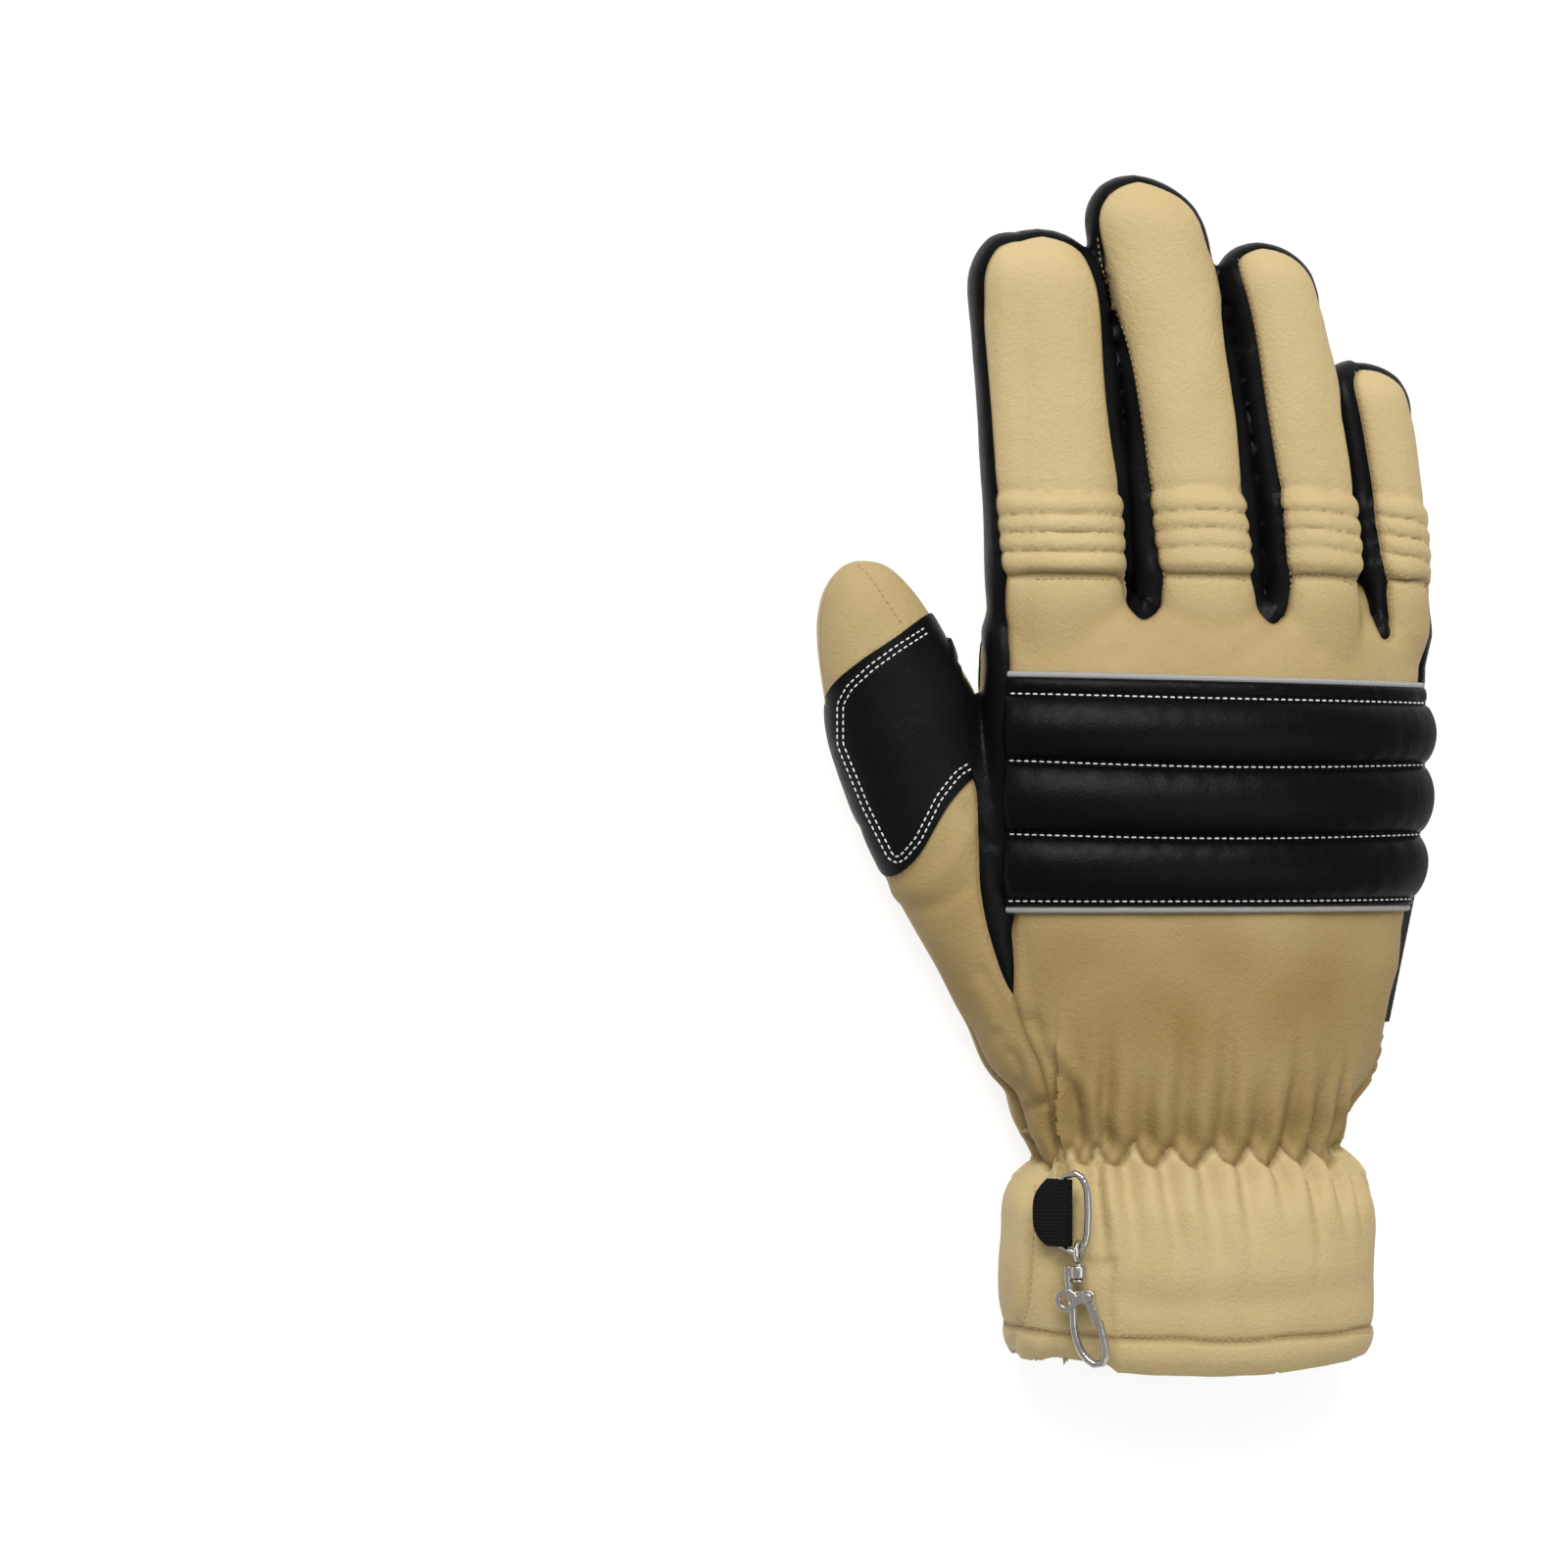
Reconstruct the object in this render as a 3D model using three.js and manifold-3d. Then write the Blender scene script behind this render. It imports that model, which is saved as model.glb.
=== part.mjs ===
// Right-hand leather firefighter glove, lying palm down with its back up.
// Millimetres, +Z up, fingers along +Y, thumb towards -X. The glove rests on the plane z = 0.
// Heights and places along the hand are first laid out from the wrist gather at y = 0, and the
// whole glove is moved at the end so that its origin is under the middle of its bounding box.
import * as THREE from "three";
import { mergeVertices } from "three/addons/utils/BufferGeometryUtils.js";
import Module from "manifold-3d";

const wasm = await Module();
wasm.setup();

// Main sizes of the glove
const palmLength = 137;
const cuffLength = 57;
const middleLength = 137.5;
const thumbLength = 155;
const palmWidth = 117;
const wristWidth = 85;
const cuffWidth = 97;
const palmThickness = 41;
const wristThickness = 37.5;
const cuffThickness = 46;
const fingerWidth = 31;
const fingerThickness = 26;
const thumbWidth = 40;
const thumbThickness = 28;

// Walls, layers and clearances
const leather = 2.2;
const patchLeather = 1.3;
const gap = 0.3;
const guardEdge = 1.6;
const guardThickness = 5.5;
const pipingDiameter = 1.7;
const hemFold = 0.9;
const hemWidth = 9;
const hemCurve = 4.5;
const webRound = 3;

// Seams, ribs and gathers
const ribCount = 4;
const ribPitch = 5;
const ribHeight = 1.7;
const ribSeamAt = palmLength + 10;
const guardLength = 59;
const guardTopAt = palmLength - 16;
const guardBottomAt = guardTopAt - guardLength;
const guardChannels = 3;
const gatherPitch = 10.25;
const gatherTop = 3.2;
const gatherBottom = -3.7;
const gatherDepth = 1.5;
const gatherReach = 16;
const gussetBelow = 8;
const gussetAbove = 5.5;
const radialPointAt = 38;
const webBack = 8;
const webBlend = 2.5;

// Tag, webbing, ring and snap hook
const tagLength = 38;
const tagWidth = 12;
const tagThickness = 1.6;
const tagAt = 50;
const webbingWidth = 17;
const webbingThickness = 1.3;
const webbingReach = 8.5;
const ringWire = 2;
const ringReach = 6.5;
const claspLength = 26;
const claspWidth = 8.6;
const claspWire = 2.3;
const claspLift = 2;
const leverThickness = 1.4;
const pinDiameter = 1.6;

// Cutting blocks and prisms reach past everything that they cut
const farOut = 3 * palmLength;
const farUp = 4 * palmThickness;
const farDown = -palmThickness;

// How finely the soft surfaces are faceted
const bodySides = 40;
const innerSides = 16;
const limbSides = 12;
const innerLimbSides = 8;
const wireSides = 6;
const facetTolerance = 0.3;
const innerTolerance = 0.8;
const crumb = 0.05;
const crumbGrid = 0.03;

// Sections of the hand and cuff. "along" is a share of the palm's length, or of the cuff's where it is
// negative. Width and thickness are the sum of the shares of the palm's, wrist's and cuff's own sizes.
// "centre" is a share of the palm's width. "crown" scales the thickness, "lift" raises the underside and
// "rise" its thumb side further, "drop" lowers the back towards the little finger, and "radial" and
// "ulnar" give the height of the widest point on the thumb's and the little finger's side.
const bodyRows = [
  { along: -1.0, palm: 0, wrist: 0, cuff: 0.94, centre: -0.03, crown: 0.98, lift: 0, rise: 0, drop: 0.03, radial: 0.5, ulnar: 0.47 },
  { along: -0.91, palm: 0, wrist: 0, cuff: 0.98, centre: -0.035, crown: 1, lift: 0, rise: 0, drop: 0.03, radial: 0.5, ulnar: 0.47 },
  { along: -0.55, palm: 0, wrist: 0, cuff: 1, centre: -0.042, crown: 1, lift: 0, rise: 0, drop: 0.04, radial: 0.5, ulnar: 0.46 },
  { along: -0.3, palm: 0, wrist: 0.09, cuff: 0.91, centre: -0.034, crown: 1, lift: 0.005, rise: 0, drop: 0.05, radial: 0.5, ulnar: 0.45 },
  { along: -0.15, palm: 0, wrist: 0.5, cuff: 0.5, centre: -0.034, crown: 1, lift: 0.02, rise: 0, drop: 0.07, radial: 0.5, ulnar: 0.44 },
  { along: -0.02, palm: 0, wrist: 0.9, cuff: 0.1, centre: -0.036, crown: 1, lift: 0.04, rise: 0.01, drop: 0.09, radial: 0.5, ulnar: 0.43 },
  { along: 0.022, palm: 0, wrist: 1, cuff: 0, centre: -0.036, crown: 1, lift: 0.042, rise: 0.02, drop: 0.1, radial: 0.5, ulnar: 0.42 },
  { along: 0.073, palm: 0.13, wrist: 0.87, cuff: 0, centre: -0.028, crown: 1, lift: 0.042, rise: 0.01, drop: 0.12, radial: 0.52, ulnar: 0.42 },
  { along: 0.146, palm: 0.3, wrist: 0.7, cuff: 0, centre: -0.016, crown: 1, lift: 0.042, rise: 0, drop: 0.14, radial: 0.54, ulnar: 0.41 },
  { along: 0.277, palm: 0.47, wrist: 0.53, cuff: 0, centre: -0.011, crown: 1, lift: 0.042, rise: 0, drop: 0.17, radial: 0.56, ulnar: 0.4 },
  { along: 0.365, palm: 0.65, wrist: 0.35, cuff: 0, centre: -0.012, crown: 1, lift: 0.042, rise: 0, drop: 0.2, radial: 0.56, ulnar: 0.4 },
  { along: 0.482, palm: 0.87, wrist: 0.13, cuff: 0, centre: -0.011, crown: 1, lift: 0.042, rise: 0, drop: 0.24, radial: 0.56, ulnar: 0.39 },
  { along: 0.62, palm: 0.99, wrist: 0, cuff: 0, centre: -0.005, crown: 1.02, lift: 0.042, rise: 0, drop: 0.27, radial: 0.56, ulnar: 0.38 },
  { along: 0.766, palm: 1, wrist: 0, cuff: 0, centre: 0, crown: 1, lift: 0.042, rise: 0, drop: 0.28, radial: 0.56, ulnar: 0.37 },
  { along: 0.89, palm: 1, wrist: 0, cuff: 0, centre: 0.003, crown: 0.97, lift: 0.042, rise: 0.02, drop: 0.29, radial: 0.57, ulnar: 0.35 },
  { along: 0.964, palm: 0.98, wrist: 0, cuff: 0, centre: 0.002, crown: 0.92, lift: 0.045, rise: 0.08, drop: 0.3, radial: 0.6, ulnar: 0.34 },
  { along: 1.0, palm: 0.93, wrist: 0, cuff: 0, centre: 0, crown: 0.86, lift: 0.05, rise: 0.15, drop: 0.3, radial: 0.62, ulnar: 0.34 },
];

// The four fingers. "side" and "lean" are shares of the palm's width, "length" of the middle finger's,
// "width" and "thick" of the finger's sizes, "height" and "dip" of the palm's thickness.
const fingerRows = [
  { name: "index", side: -0.326, lean: -0.056, length: 0.898, width: 1.1, thick: 1.02, height: 0.56, dip: 0.06 },
  { name: "middle", side: -0.008, lean: -0.158, length: 1.0, width: 1.0, thick: 1.0, height: 0.6, dip: 0.07 },
  { name: "ring", side: 0.24, lean: -0.125, length: 0.88, width: 0.82, thick: 0.95, height: 0.57, dip: 0.06 },
  { name: "pinky", side: 0.432, lean: -0.066, length: 0.656, width: 0.7, thick: 0.8, height: 0.28, dip: 0.03 },
];
const knuckleAt = 0.818 * palmLength;

// The thumb, seen along its own axis from its root in the palm
const thumbRootX = -0.325 * palmWidth;
const thumbRootY = 0.036 * palmLength;
const thumbLean = THREE.MathUtils.degToRad(20);
const thumbRows = [
  { along: 0, width: 0.4, thick: 0.8, shift: 0, height: 0.56 },
  { along: 0.18, width: 0.7, thick: 1.05, shift: 0.04, height: 0.56 },
  { along: 0.38, width: 0.83, thick: 1.1, shift: 0, height: 0.55 },
  { along: 0.56, width: 1.0, thick: 1.1, shift: -0.03, height: 0.54 },
  { along: 0.71, width: 0.98, thick: 1.02, shift: -0.045, height: 0.52 },
  { along: 0.81, width: 0.85, thick: 0.98, shift: -0.042, height: 0.5 },
  { along: 0.9, width: 0.7, thick: 0.9, shift: -0.035, height: 0.5 },
  { along: 0.955, width: 0.52, thick: 0.72, shift: -0.028, height: 0.5 },
  { along: 0.985, width: 0.32, thick: 0.46, shift: -0.02, height: 0.5 },
  { along: 1.0, width: 0.1, thick: 0.16, shift: -0.02, height: 0.5 },
];

// Colours and finishes
const paleLeather = new THREE.MeshStandardMaterial({ color: 0xdcc48c, roughness: 0.62, metalness: 0 });
const blackLeather = new THREE.MeshStandardMaterial({ color: 0x17181a, roughness: 0.5, metalness: 0 });
const greyPiping = new THREE.MeshStandardMaterial({ color: 0x9a9a98, roughness: 0.55, metalness: 0 });
const blackWebbing = new THREE.MeshStandardMaterial({ color: 0x121316, roughness: 0.8, metalness: 0 });
const nickel = new THREE.MeshStandardMaterial({ color: 0xc9c5bb, roughness: 0.25, metalness: 1 });

// Smooth value of one column of a table at a place along it
function columnAt(rows, key, place) {
  const last = rows.length - 1;
  if (place <= rows[0].along) return rows[0][key];
  if (place >= rows[last].along) return rows[last][key];
  let i = 0;
  while (rows[i + 1].along < place) i += 1;
  const before = rows[Math.max(i - 1, 0)];
  const after = rows[Math.min(i + 2, last)];
  const span = rows[i + 1].along - rows[i].along;
  const rise = (rows[i + 1][key] - rows[i][key]) / span;
  const slopeIn = i > 0 ? limitedSlope(rise, (rows[i][key] - before[key]) / (rows[i].along - before.along)) : rise;
  const slopeOut = i + 1 < last
    ? limitedSlope(rise, (after[key] - rows[i + 1][key]) / (after.along - rows[i + 1].along)) : rise;
  const t = (place - rows[i].along) / span;
  const h = t * t * (3 - 2 * t);
  return rows[i][key] * (1 - h) + rows[i + 1][key] * h
    + span * (slopeIn * t * (1 - t) * (1 - t) - slopeOut * t * t * (1 - t));
}

function limitedSlope(a, b) {
  return a * b <= 0 ? 0 : (2 * a * b) / (a + b);
}

// A solid from a list of vertex positions and triangles, turned the right way out
function solidFrom(positions, triangles) {
  const vertProperties = new Float32Array(positions.flat());
  let triVerts = new Uint32Array(triangles.flat());
  let solid = new wasm.Manifold(new wasm.Mesh({ numProp: 3, vertProperties, triVerts }));
  if (solid.volume() < 0) {
    triVerts = new Uint32Array(triangles.map(([a, b, c]) => [a, c, b]).flat());
    solid = new wasm.Manifold(new wasm.Mesh({ numProp: 3, vertProperties, triVerts }));
  }
  return solid;
}

// A closed body through rings of points, with flat fans at its two ends or joined end to end
function loft(rings, endless = false) {
  const sides = rings[0].length;
  const positions = rings.flat();
  const triangles = [];
  const steps = endless ? rings.length : rings.length - 1;
  for (let r = 0; r < steps; r += 1) {
    const next = ((r + 1) % rings.length) * sides;
    for (let k = 0; k < sides; k += 1) {
      const l = (k + 1) % sides;
      triangles.push([r * sides + k, r * sides + l, next + l]);
      triangles.push([r * sides + k, next + l, next + k]);
    }
  }
  if (!endless) {
    for (const r of [0, rings.length - 1]) {
      const middle = [0, 1, 2].map((axis) => rings[r].reduce((sum, p) => sum + p[axis], 0) / sides);
      positions.push(middle);
      for (let k = 0; k < sides; k += 1) {
        const pair = [r * sides + k, r * sides + ((k + 1) % sides)];
        triangles.push(r === 0 ? [pair[1], pair[0], positions.length - 1] : [pair[0], pair[1], positions.length - 1]);
      }
    }
  }
  return solidFrom(positions, triangles);
}

// A closed body between an upper and a lower grid of points with the same rows and columns
function slabBetween(upper, lower) {
  const rows = upper.length;
  const columns = upper[0].length;
  const at = (r, c, low) => (low ? rows * columns : 0) + r * columns + c;
  const triangles = [];
  const quad = (p, q, r, s) => triangles.push([p, q, r], [p, r, s]);
  for (let r = 0; r + 1 < rows; r += 1) {
    for (let c = 0; c + 1 < columns; c += 1) {
      quad(at(r, c), at(r, c + 1), at(r + 1, c + 1), at(r + 1, c));
      quad(at(r, c, true), at(r + 1, c, true), at(r + 1, c + 1, true), at(r, c + 1, true));
    }
    quad(at(r, 0), at(r + 1, 0), at(r + 1, 0, true), at(r, 0, true));
    quad(at(r, columns - 1), at(r, columns - 1, true), at(r + 1, columns - 1, true), at(r + 1, columns - 1));
  }
  for (let c = 0; c + 1 < columns; c += 1) {
    quad(at(0, c), at(0, c, true), at(0, c + 1, true), at(0, c + 1));
    quad(at(rows - 1, c), at(rows - 1, c + 1), at(rows - 1, c + 1, true), at(rows - 1, c, true));
  }
  return solidFrom([...upper.flat(), ...lower.flat()], triangles);
}

// A three.js geometry as a solid
function solidOf(geometry) {
  const bare = geometry.clone();
  bare.deleteAttribute("normal");
  bare.deleteAttribute("uv");
  const merged = mergeVertices(bare, 1e-4);
  const vertProperties = new Float32Array(merged.attributes.position.array);
  const triVerts = new Uint32Array(merged.index.array);
  return new wasm.Manifold(new wasm.Mesh({ numProp: 3, vertProperties, triVerts }));
}

// An upright prism over a plan outline
function prism(outline, bottom, top) {
  const shape = new THREE.Shape(outline.map(([x, y]) => new THREE.Vector2(x, y)));
  const geometry = new THREE.ExtrudeGeometry(shape, { depth: top - bottom, bevelEnabled: false });
  geometry.translate(0, 0, bottom);
  return solidOf(geometry);
}

function block(x0, x1, y0, y1, z0, z1) {
  const geometry = new THREE.BoxGeometry(x1 - x0, y1 - y0, z1 - z0);
  geometry.translate((x0 + x1) / 2, (y0 + y1) / 2, (z0 + z1) / 2);
  return solidOf(geometry);
}

// A round bar along an open curve
function bar(points, diameter, sides, steps) {
  const circle = new THREE.Shape();
  for (let k = 0; k < sides; k += 1) {
    const turn = (k / sides) * 2 * Math.PI;
    const place = [Math.cos(turn) * diameter / 2, Math.sin(turn) * diameter / 2];
    if (k === 0) circle.moveTo(...place);
    else circle.lineTo(...place);
  }
  const extrudePath = new THREE.CatmullRomCurve3(points.map((p) => new THREE.Vector3(...p)));
  return solidOf(new THREE.ExtrudeGeometry(circle, { steps, bevelEnabled: false, extrudePath }));
}

// A closed loop of wire in the plane that two directions span
function wireLoop(points, diameter, sides, planeNormal) {
  const count = points.length;
  const rings = points.map((p, i) => {
    const here = new THREE.Vector3(...p);
    const ahead = new THREE.Vector3(...points[(i + 1) % count]);
    const behind = new THREE.Vector3(...points[(i + count - 1) % count]);
    const out = ahead.sub(behind).normalize().cross(planeNormal).normalize();
    return Array.from({ length: sides }, (_, k) => {
      const turn = (k / sides) * 2 * Math.PI;
      const q = here.clone();
      q.addScaledVector(out, Math.cos(turn) * diameter / 2);
      q.addScaledVector(planeNormal, Math.sin(turn) * diameter / 2);
      return q.toArray();
    });
  });
  return loft(rings, true);
}

// Where the hand or cuff's surface is, at a place along it and an angle round it.
// The angle is 0 on the little finger's side, a quarter turn on the back and a half on the thumb's side.
function bodyPoint(y, angle, grow = 0) {
  const along = y < 0 ? y / cuffLength : y / palmLength;
  const at = (key) => columnAt(bodyRows, key, along);
  const width = at("palm") * palmWidth + at("wrist") * wristWidth + at("cuff") * cuffWidth;
  const tall = (at("palm") * palmThickness + at("wrist") * wristThickness + at("cuff") * cuffThickness) * at("crown");
  const c = Math.cos(angle);
  const s = Math.sin(angle);
  const power = s >= 0 ? 2.5 : 3.4;
  const across = Math.sign(c) * Math.abs(c) ** (2 / power);
  const x = at("centre") * palmWidth + (width / 2 + grow) * across;
  const share = (across + 1) / 2;
  const side = tall * (at("radial") * (1 - share) + at("ulnar") * share);
  const crest = tall * (1 - at("drop") * Math.max(across, 0) ** 2);
  const floor = tall * (at("lift") + at("rise") * (1 - share));
  const up = Math.abs(s) ** (2 / power);
  const z = s >= 0 ? side + (crest + grow - side) * up : side - (side - floor + grow) * up;
  const bow = y < 0 ? hemCurve * along * along * across * across : 0;
  return [x, y + bow, z];
}

// Depth of the wrist gathers: a ridge for each pleat, fading up and down the glove
function gatherAt(y, k) {
  const fade = Math.max(0, 1 - Math.abs(y) / gatherReach);
  return (k % 2 === 0 ? 0.5 : -0.5) * gatherDepth * fade * fade;
}

function bodySolid(grow, sides, places, gathers) {
  const rings = places.map((y) => Array.from({ length: sides }, (_, k) => {
    const pleat = gathers ? gatherAt(y, k) : 0;
    return bodyPoint(y, (k / sides) * 2 * Math.PI, grow + pleat);
  }));
  const last = rings[rings.length - 1];
  const [mx, , mz] = [0, 1, 2].map((axis) => last.reduce((sum, p) => sum + p[axis], 0) / sides);
  rings.push(last.map(([x, y, z]) => [mx + 0.9 * (x - mx), y + webRound, mz + 0.7 * (z - mz)]));
  return loft(rings);
}

// The middle line and the section of a finger at a share of its length
function fingerCentre(row, share) {
  const x = (row.side + row.lean * share * share) * palmWidth;
  const y = knuckleAt + share * row.length * middleLength;
  const z = (row.height - row.dip * share * share) * palmThickness;
  return [x, y, z];
}

function tipRound(distance, radius) {
  if (distance >= radius) return 1;
  const t = 1 - Math.max(distance, 0) / radius;
  return Math.sqrt(Math.max(1 - t * t, 0));
}

// Height of the ribs that cross a finger's back, at a place along the glove
function ribAt(y) {
  const t = (y - ribSeamAt) / ribPitch;
  if (t < 0 || t > ribCount) return 0;
  return ribHeight * Math.abs(Math.sin(t * Math.PI)) ** 0.7;
}

function fingerRing(row, y, grow, sides, ribbed) {
  const length = row.length * middleLength;
  const share = (y - knuckleAt) / length;
  const [x, , z] = fingerCentre(row, Math.min(share, 1));
  const width = row.width * fingerWidth;
  const thick = row.thick * fingerThickness;
  const tip = tipRound(knuckleAt + length + grow - y, width * 0.47 + grow);
  const swell = 0.9 + 0.1 * Math.min(share / 0.25, 1);
  return Array.from({ length: sides }, (_, k) => {
    const angle = (k / sides) * 2 * Math.PI;
    const c = Math.cos(angle);
    const s = Math.sin(angle);
    const a = Math.sign(c) * Math.abs(c) ** 0.94;
    const b = Math.sign(s) * Math.abs(s) ** 0.94;
    const rib = ribbed && s > 0 ? ribAt(y) * Math.min(1, s * 1.6) : 0;
    return [
      x + a * (width / 2 * swell + grow) * tip,
      y,
      z + b * ((thick / 2 * swell + grow) * tip + rib),
    ];
  });
}

function fingerPlaces(row, grow, ribbed) {
  const end = knuckleAt + row.length * middleLength + grow;
  const round = row.width * fingerWidth * 0.47 + grow;
  const places = [knuckleAt + 5, 0.5 * (guardTopAt + ribSeamAt)];
  if (ribbed) {
    for (let k = 0; k <= ribCount * 2; k += 1) places.push(ribSeamAt + k * ribPitch / 2);
  }
  const free = ribSeamAt + ribCount * ribPitch;
  places.push(free + 0.15 * (end - round - free), free + 0.55 * (end - round - free));
  for (const share of [1, 0.66, 0.36, 0.14, 0.02]) places.push(end - round * share);
  return places;
}

function fingerSolid(row, grow, sides, ribbed) {
  const rings = fingerPlaces(row, grow, ribbed).map((y) => fingerRing(row, y, grow, sides, ribbed));
  return loft(rings);
}

function thumbPoint(along, angle, grow = 0) {
  const at = (key) => columnAt(thumbRows, key, along);
  const halfWidth = at("width") * thumbWidth / 2;
  const halfThick = at("thick") * thumbThickness / 2;
  const tight = halfWidth > -grow ? (halfWidth + grow) : 0.2;
  const flat = halfThick > -grow ? (halfThick + grow) : 0.2;
  const u = at("shift") * thumbWidth + Math.sign(Math.cos(angle)) * Math.abs(Math.cos(angle)) ** 0.92 * tight;
  const v = along * thumbLength + (along > 0.9 ? grow * (along - 0.9) * 10 : 0);
  return [
    thumbRootX + u * Math.cos(thumbLean) - v * Math.sin(thumbLean),
    thumbRootY + u * Math.sin(thumbLean) + v * Math.cos(thumbLean),
    at("height") * thumbThickness + Math.sign(Math.sin(angle)) * Math.abs(Math.sin(angle)) ** 0.92 * flat,
  ];
}

function thumbSolid(grow, sides) {
  const places = [0, 0.12, 0.26, 0.4, 0.52, 0.64, 0.73, 0.81, 0.87, 0.92, 0.955, 0.98, 0.994, 1.0];
  const rings = places.map((along) => Array.from({ length: sides }, (_, k) => (
    thumbPoint(along, (k / sides) * 2 * Math.PI, grow))));
  return loft(rings);
}

const bodyPlaces = bodyRows.map((row) => row.along * (row.along < 0 ? cuffLength : palmLength));

// The glove's whole outer form, grown or shrunk evenly
function outerForm(grow) {
  let form = bodySolid(grow, bodySides, bodyPlaces, true);
  for (const row of fingerRows) form = form.add(fingerSolid(row, grow, limbSides, true));
  return form.add(thumbSolid(grow, limbSides)).simplify(facetTolerance);
}

// The space for the hand, open at the cuff's mouth
function innerForm() {
  const inner = bodyPlaces.filter((_, i) => i % 2 === 0);
  inner.push(bodyPlaces[bodyPlaces.length - 1] - leather);
  let form = bodySolid(-leather, innerSides, inner, false);
  const mouth = Array.from({ length: innerSides }, (_, k) => (
    bodyPoint(-cuffLength, (k / innerSides) * 2 * Math.PI, -leather)));
  const shifted = [-cuffLength * 0.4, cuffLength * 0.05].map((dy) => mouth.map(([x, y, z]) => [x, y + dy, z]));
  form = form.add(loft(shifted));
  for (const row of fingerRows) form = form.add(fingerSolid(row, -leather, innerLimbSides, false));
  return form.add(thumbSolid(-leather, innerLimbSides)).simplify(innerTolerance);
}

const aboveFloor = block(-farOut, farOut, -farOut, farOut, 0, farUp);
const aboveInnerFloor = block(-farOut, farOut, -farOut, farOut, leather, farUp);
const outer = outerForm(0);
const shell = outer.intersect(aboveFloor).subtract(innerForm().intersect(aboveInnerFloor));

// Where the black side walls run. Heights are shares of the palm's thickness.
const gussetRows = [
  { along: 0, radialLow: 0.7, radialHigh: 0.76, ulnarLow: 0.34, ulnarHigh: 0.36 },
  { along: 0.1, radialLow: 0.69, radialHigh: 0.78, ulnarLow: 0.28, ulnarHigh: 0.4 },
  { along: 0.35, radialLow: 0.64, radialHigh: 0.87, ulnarLow: 0.2, ulnarHigh: 0.45 },
  { along: 0.75, radialLow: 0.58, radialHigh: 0.88, ulnarLow: 0.17, ulnarHigh: 0.46 },
  { along: 1, radialLow: 0.42, radialHigh: 0.78, ulnarLow: 0.15, ulnarHigh: 0.4 },
];
const radialShare = -0.505;
const radialEdge = radialShare * palmWidth;
const ulnarShoulder = 0.44 * palmWidth;
const farRight = 0.7 * palmWidth;
const innerHeight = 0.4 * palmThickness;
const webFrom = palmLength - webBack;

// Heights of one edge of the side walls across the glove, at a place along it
function gussetLine(y, side) {
  const onHand = y < webFrom;
  const centres = fingerRows.map((row) => {
    const share = THREE.MathUtils.clamp((y - knuckleAt) / (row.length * middleLength), 0, 1);
    const [x, , z] = fingerCentre(row, share);
    const reach = row.thick * (side === "High" ? gussetAbove : -gussetBelow);
    return { x, z: onHand ? innerHeight : z + reach };
  });
  const between = [0, 1, 2].map((i) => (centres[i].x + centres[i + 1].x) / 2);
  const handSpan = palmLength - radialPointAt;
  const share = THREE.MathUtils.clamp((y - radialPointAt) / handSpan, 0, 1);
  const radial = onHand ? columnAt(gussetRows, `radial${side}`, share) * palmThickness : centres[0].z;
  const ulnar = onHand ? columnAt(gussetRows, `ulnar${side}`, share) * palmThickness : centres[3].z;
  return [
    [radialEdge, radial], [radialEdge + 0.1 * palmWidth, radial], [radialEdge + 0.11 * palmWidth, centres[0].z],
    [between[0] - 1, centres[0].z], [between[0] + 1, centres[1].z],
    [between[1] - 1, centres[1].z], [between[1] + 1, centres[2].z],
    [between[2] - 1, centres[2].z], [between[2] + 1, centres[3].z],
    [ulnarShoulder - 1, centres[3].z], [ulnarShoulder, ulnar], [farRight, ulnar],
  ].map(([x, z]) => [x, y, z]);
}
const gussetPlaces = [
  ...[0, 0.11, 0.374, 0.626, 0.813].map((share) => radialPointAt + share * (webFrom - radialPointAt)),
  webFrom - 0.6 * webBlend, webFrom + 0.4 * webBlend,
  ...[0.167, 0.385, 0.567, 0.909].map((share) => palmLength + share * middleLength),
];

// Everything below the upper or the lower edge of the side walls
function underEdge(side, clearance) {
  const rows = [-3 * cuffLength, ...gussetPlaces].map((y) => (
    gussetLine(Math.max(y, radialPointAt), side).map(([x, , z]) => [x, y, z + clearance])));
  return slabBetween(rows, rows.map((line) => line.map(([x, y]) => [x, y, farDown])));
}

// Plan outlines, as shares of the palm's width across and of the palm's length along
function outlineOf(points) {
  return points.map(([across, along]) => [across * palmWidth, along * palmLength]);
}

const far = 3;
const thumbSeamBack = [[-0.363, 0.02], [-0.363, 0.09], [-0.37, 0.152], [-0.404, 0.214], [-0.426, 0.28]];
const thumbBackOutline = outlineOf([
  ...thumbSeamBack, [-0.41, 0.36], [-0.41, 0.62], [radialShare, 0.73], [radialShare, 1.3], [-far, 1.3], [-far, -0.2], [-0.363, -0.2],
]);
const palmHookLine = [
  [-0.36, 0.02], [-0.38, 0.137], [-0.316, 0.34], [-0.302, 0.447], [-0.286, 0.542], [-0.289, 0.582],
  [-0.316, 0.623], [-0.363, 0.65], [-0.41, 0.655],
];
const thumbFrontOutline = outlineOf([
  ...palmHookLine, [-0.45, 0.69], [radialShare, 0.76], [radialShare, 1.3], [-far, 1.3], [-far, -0.2], [-0.36, -0.2],
]);
const thumbMiddle = 0.5 * thumbThickness;

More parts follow.
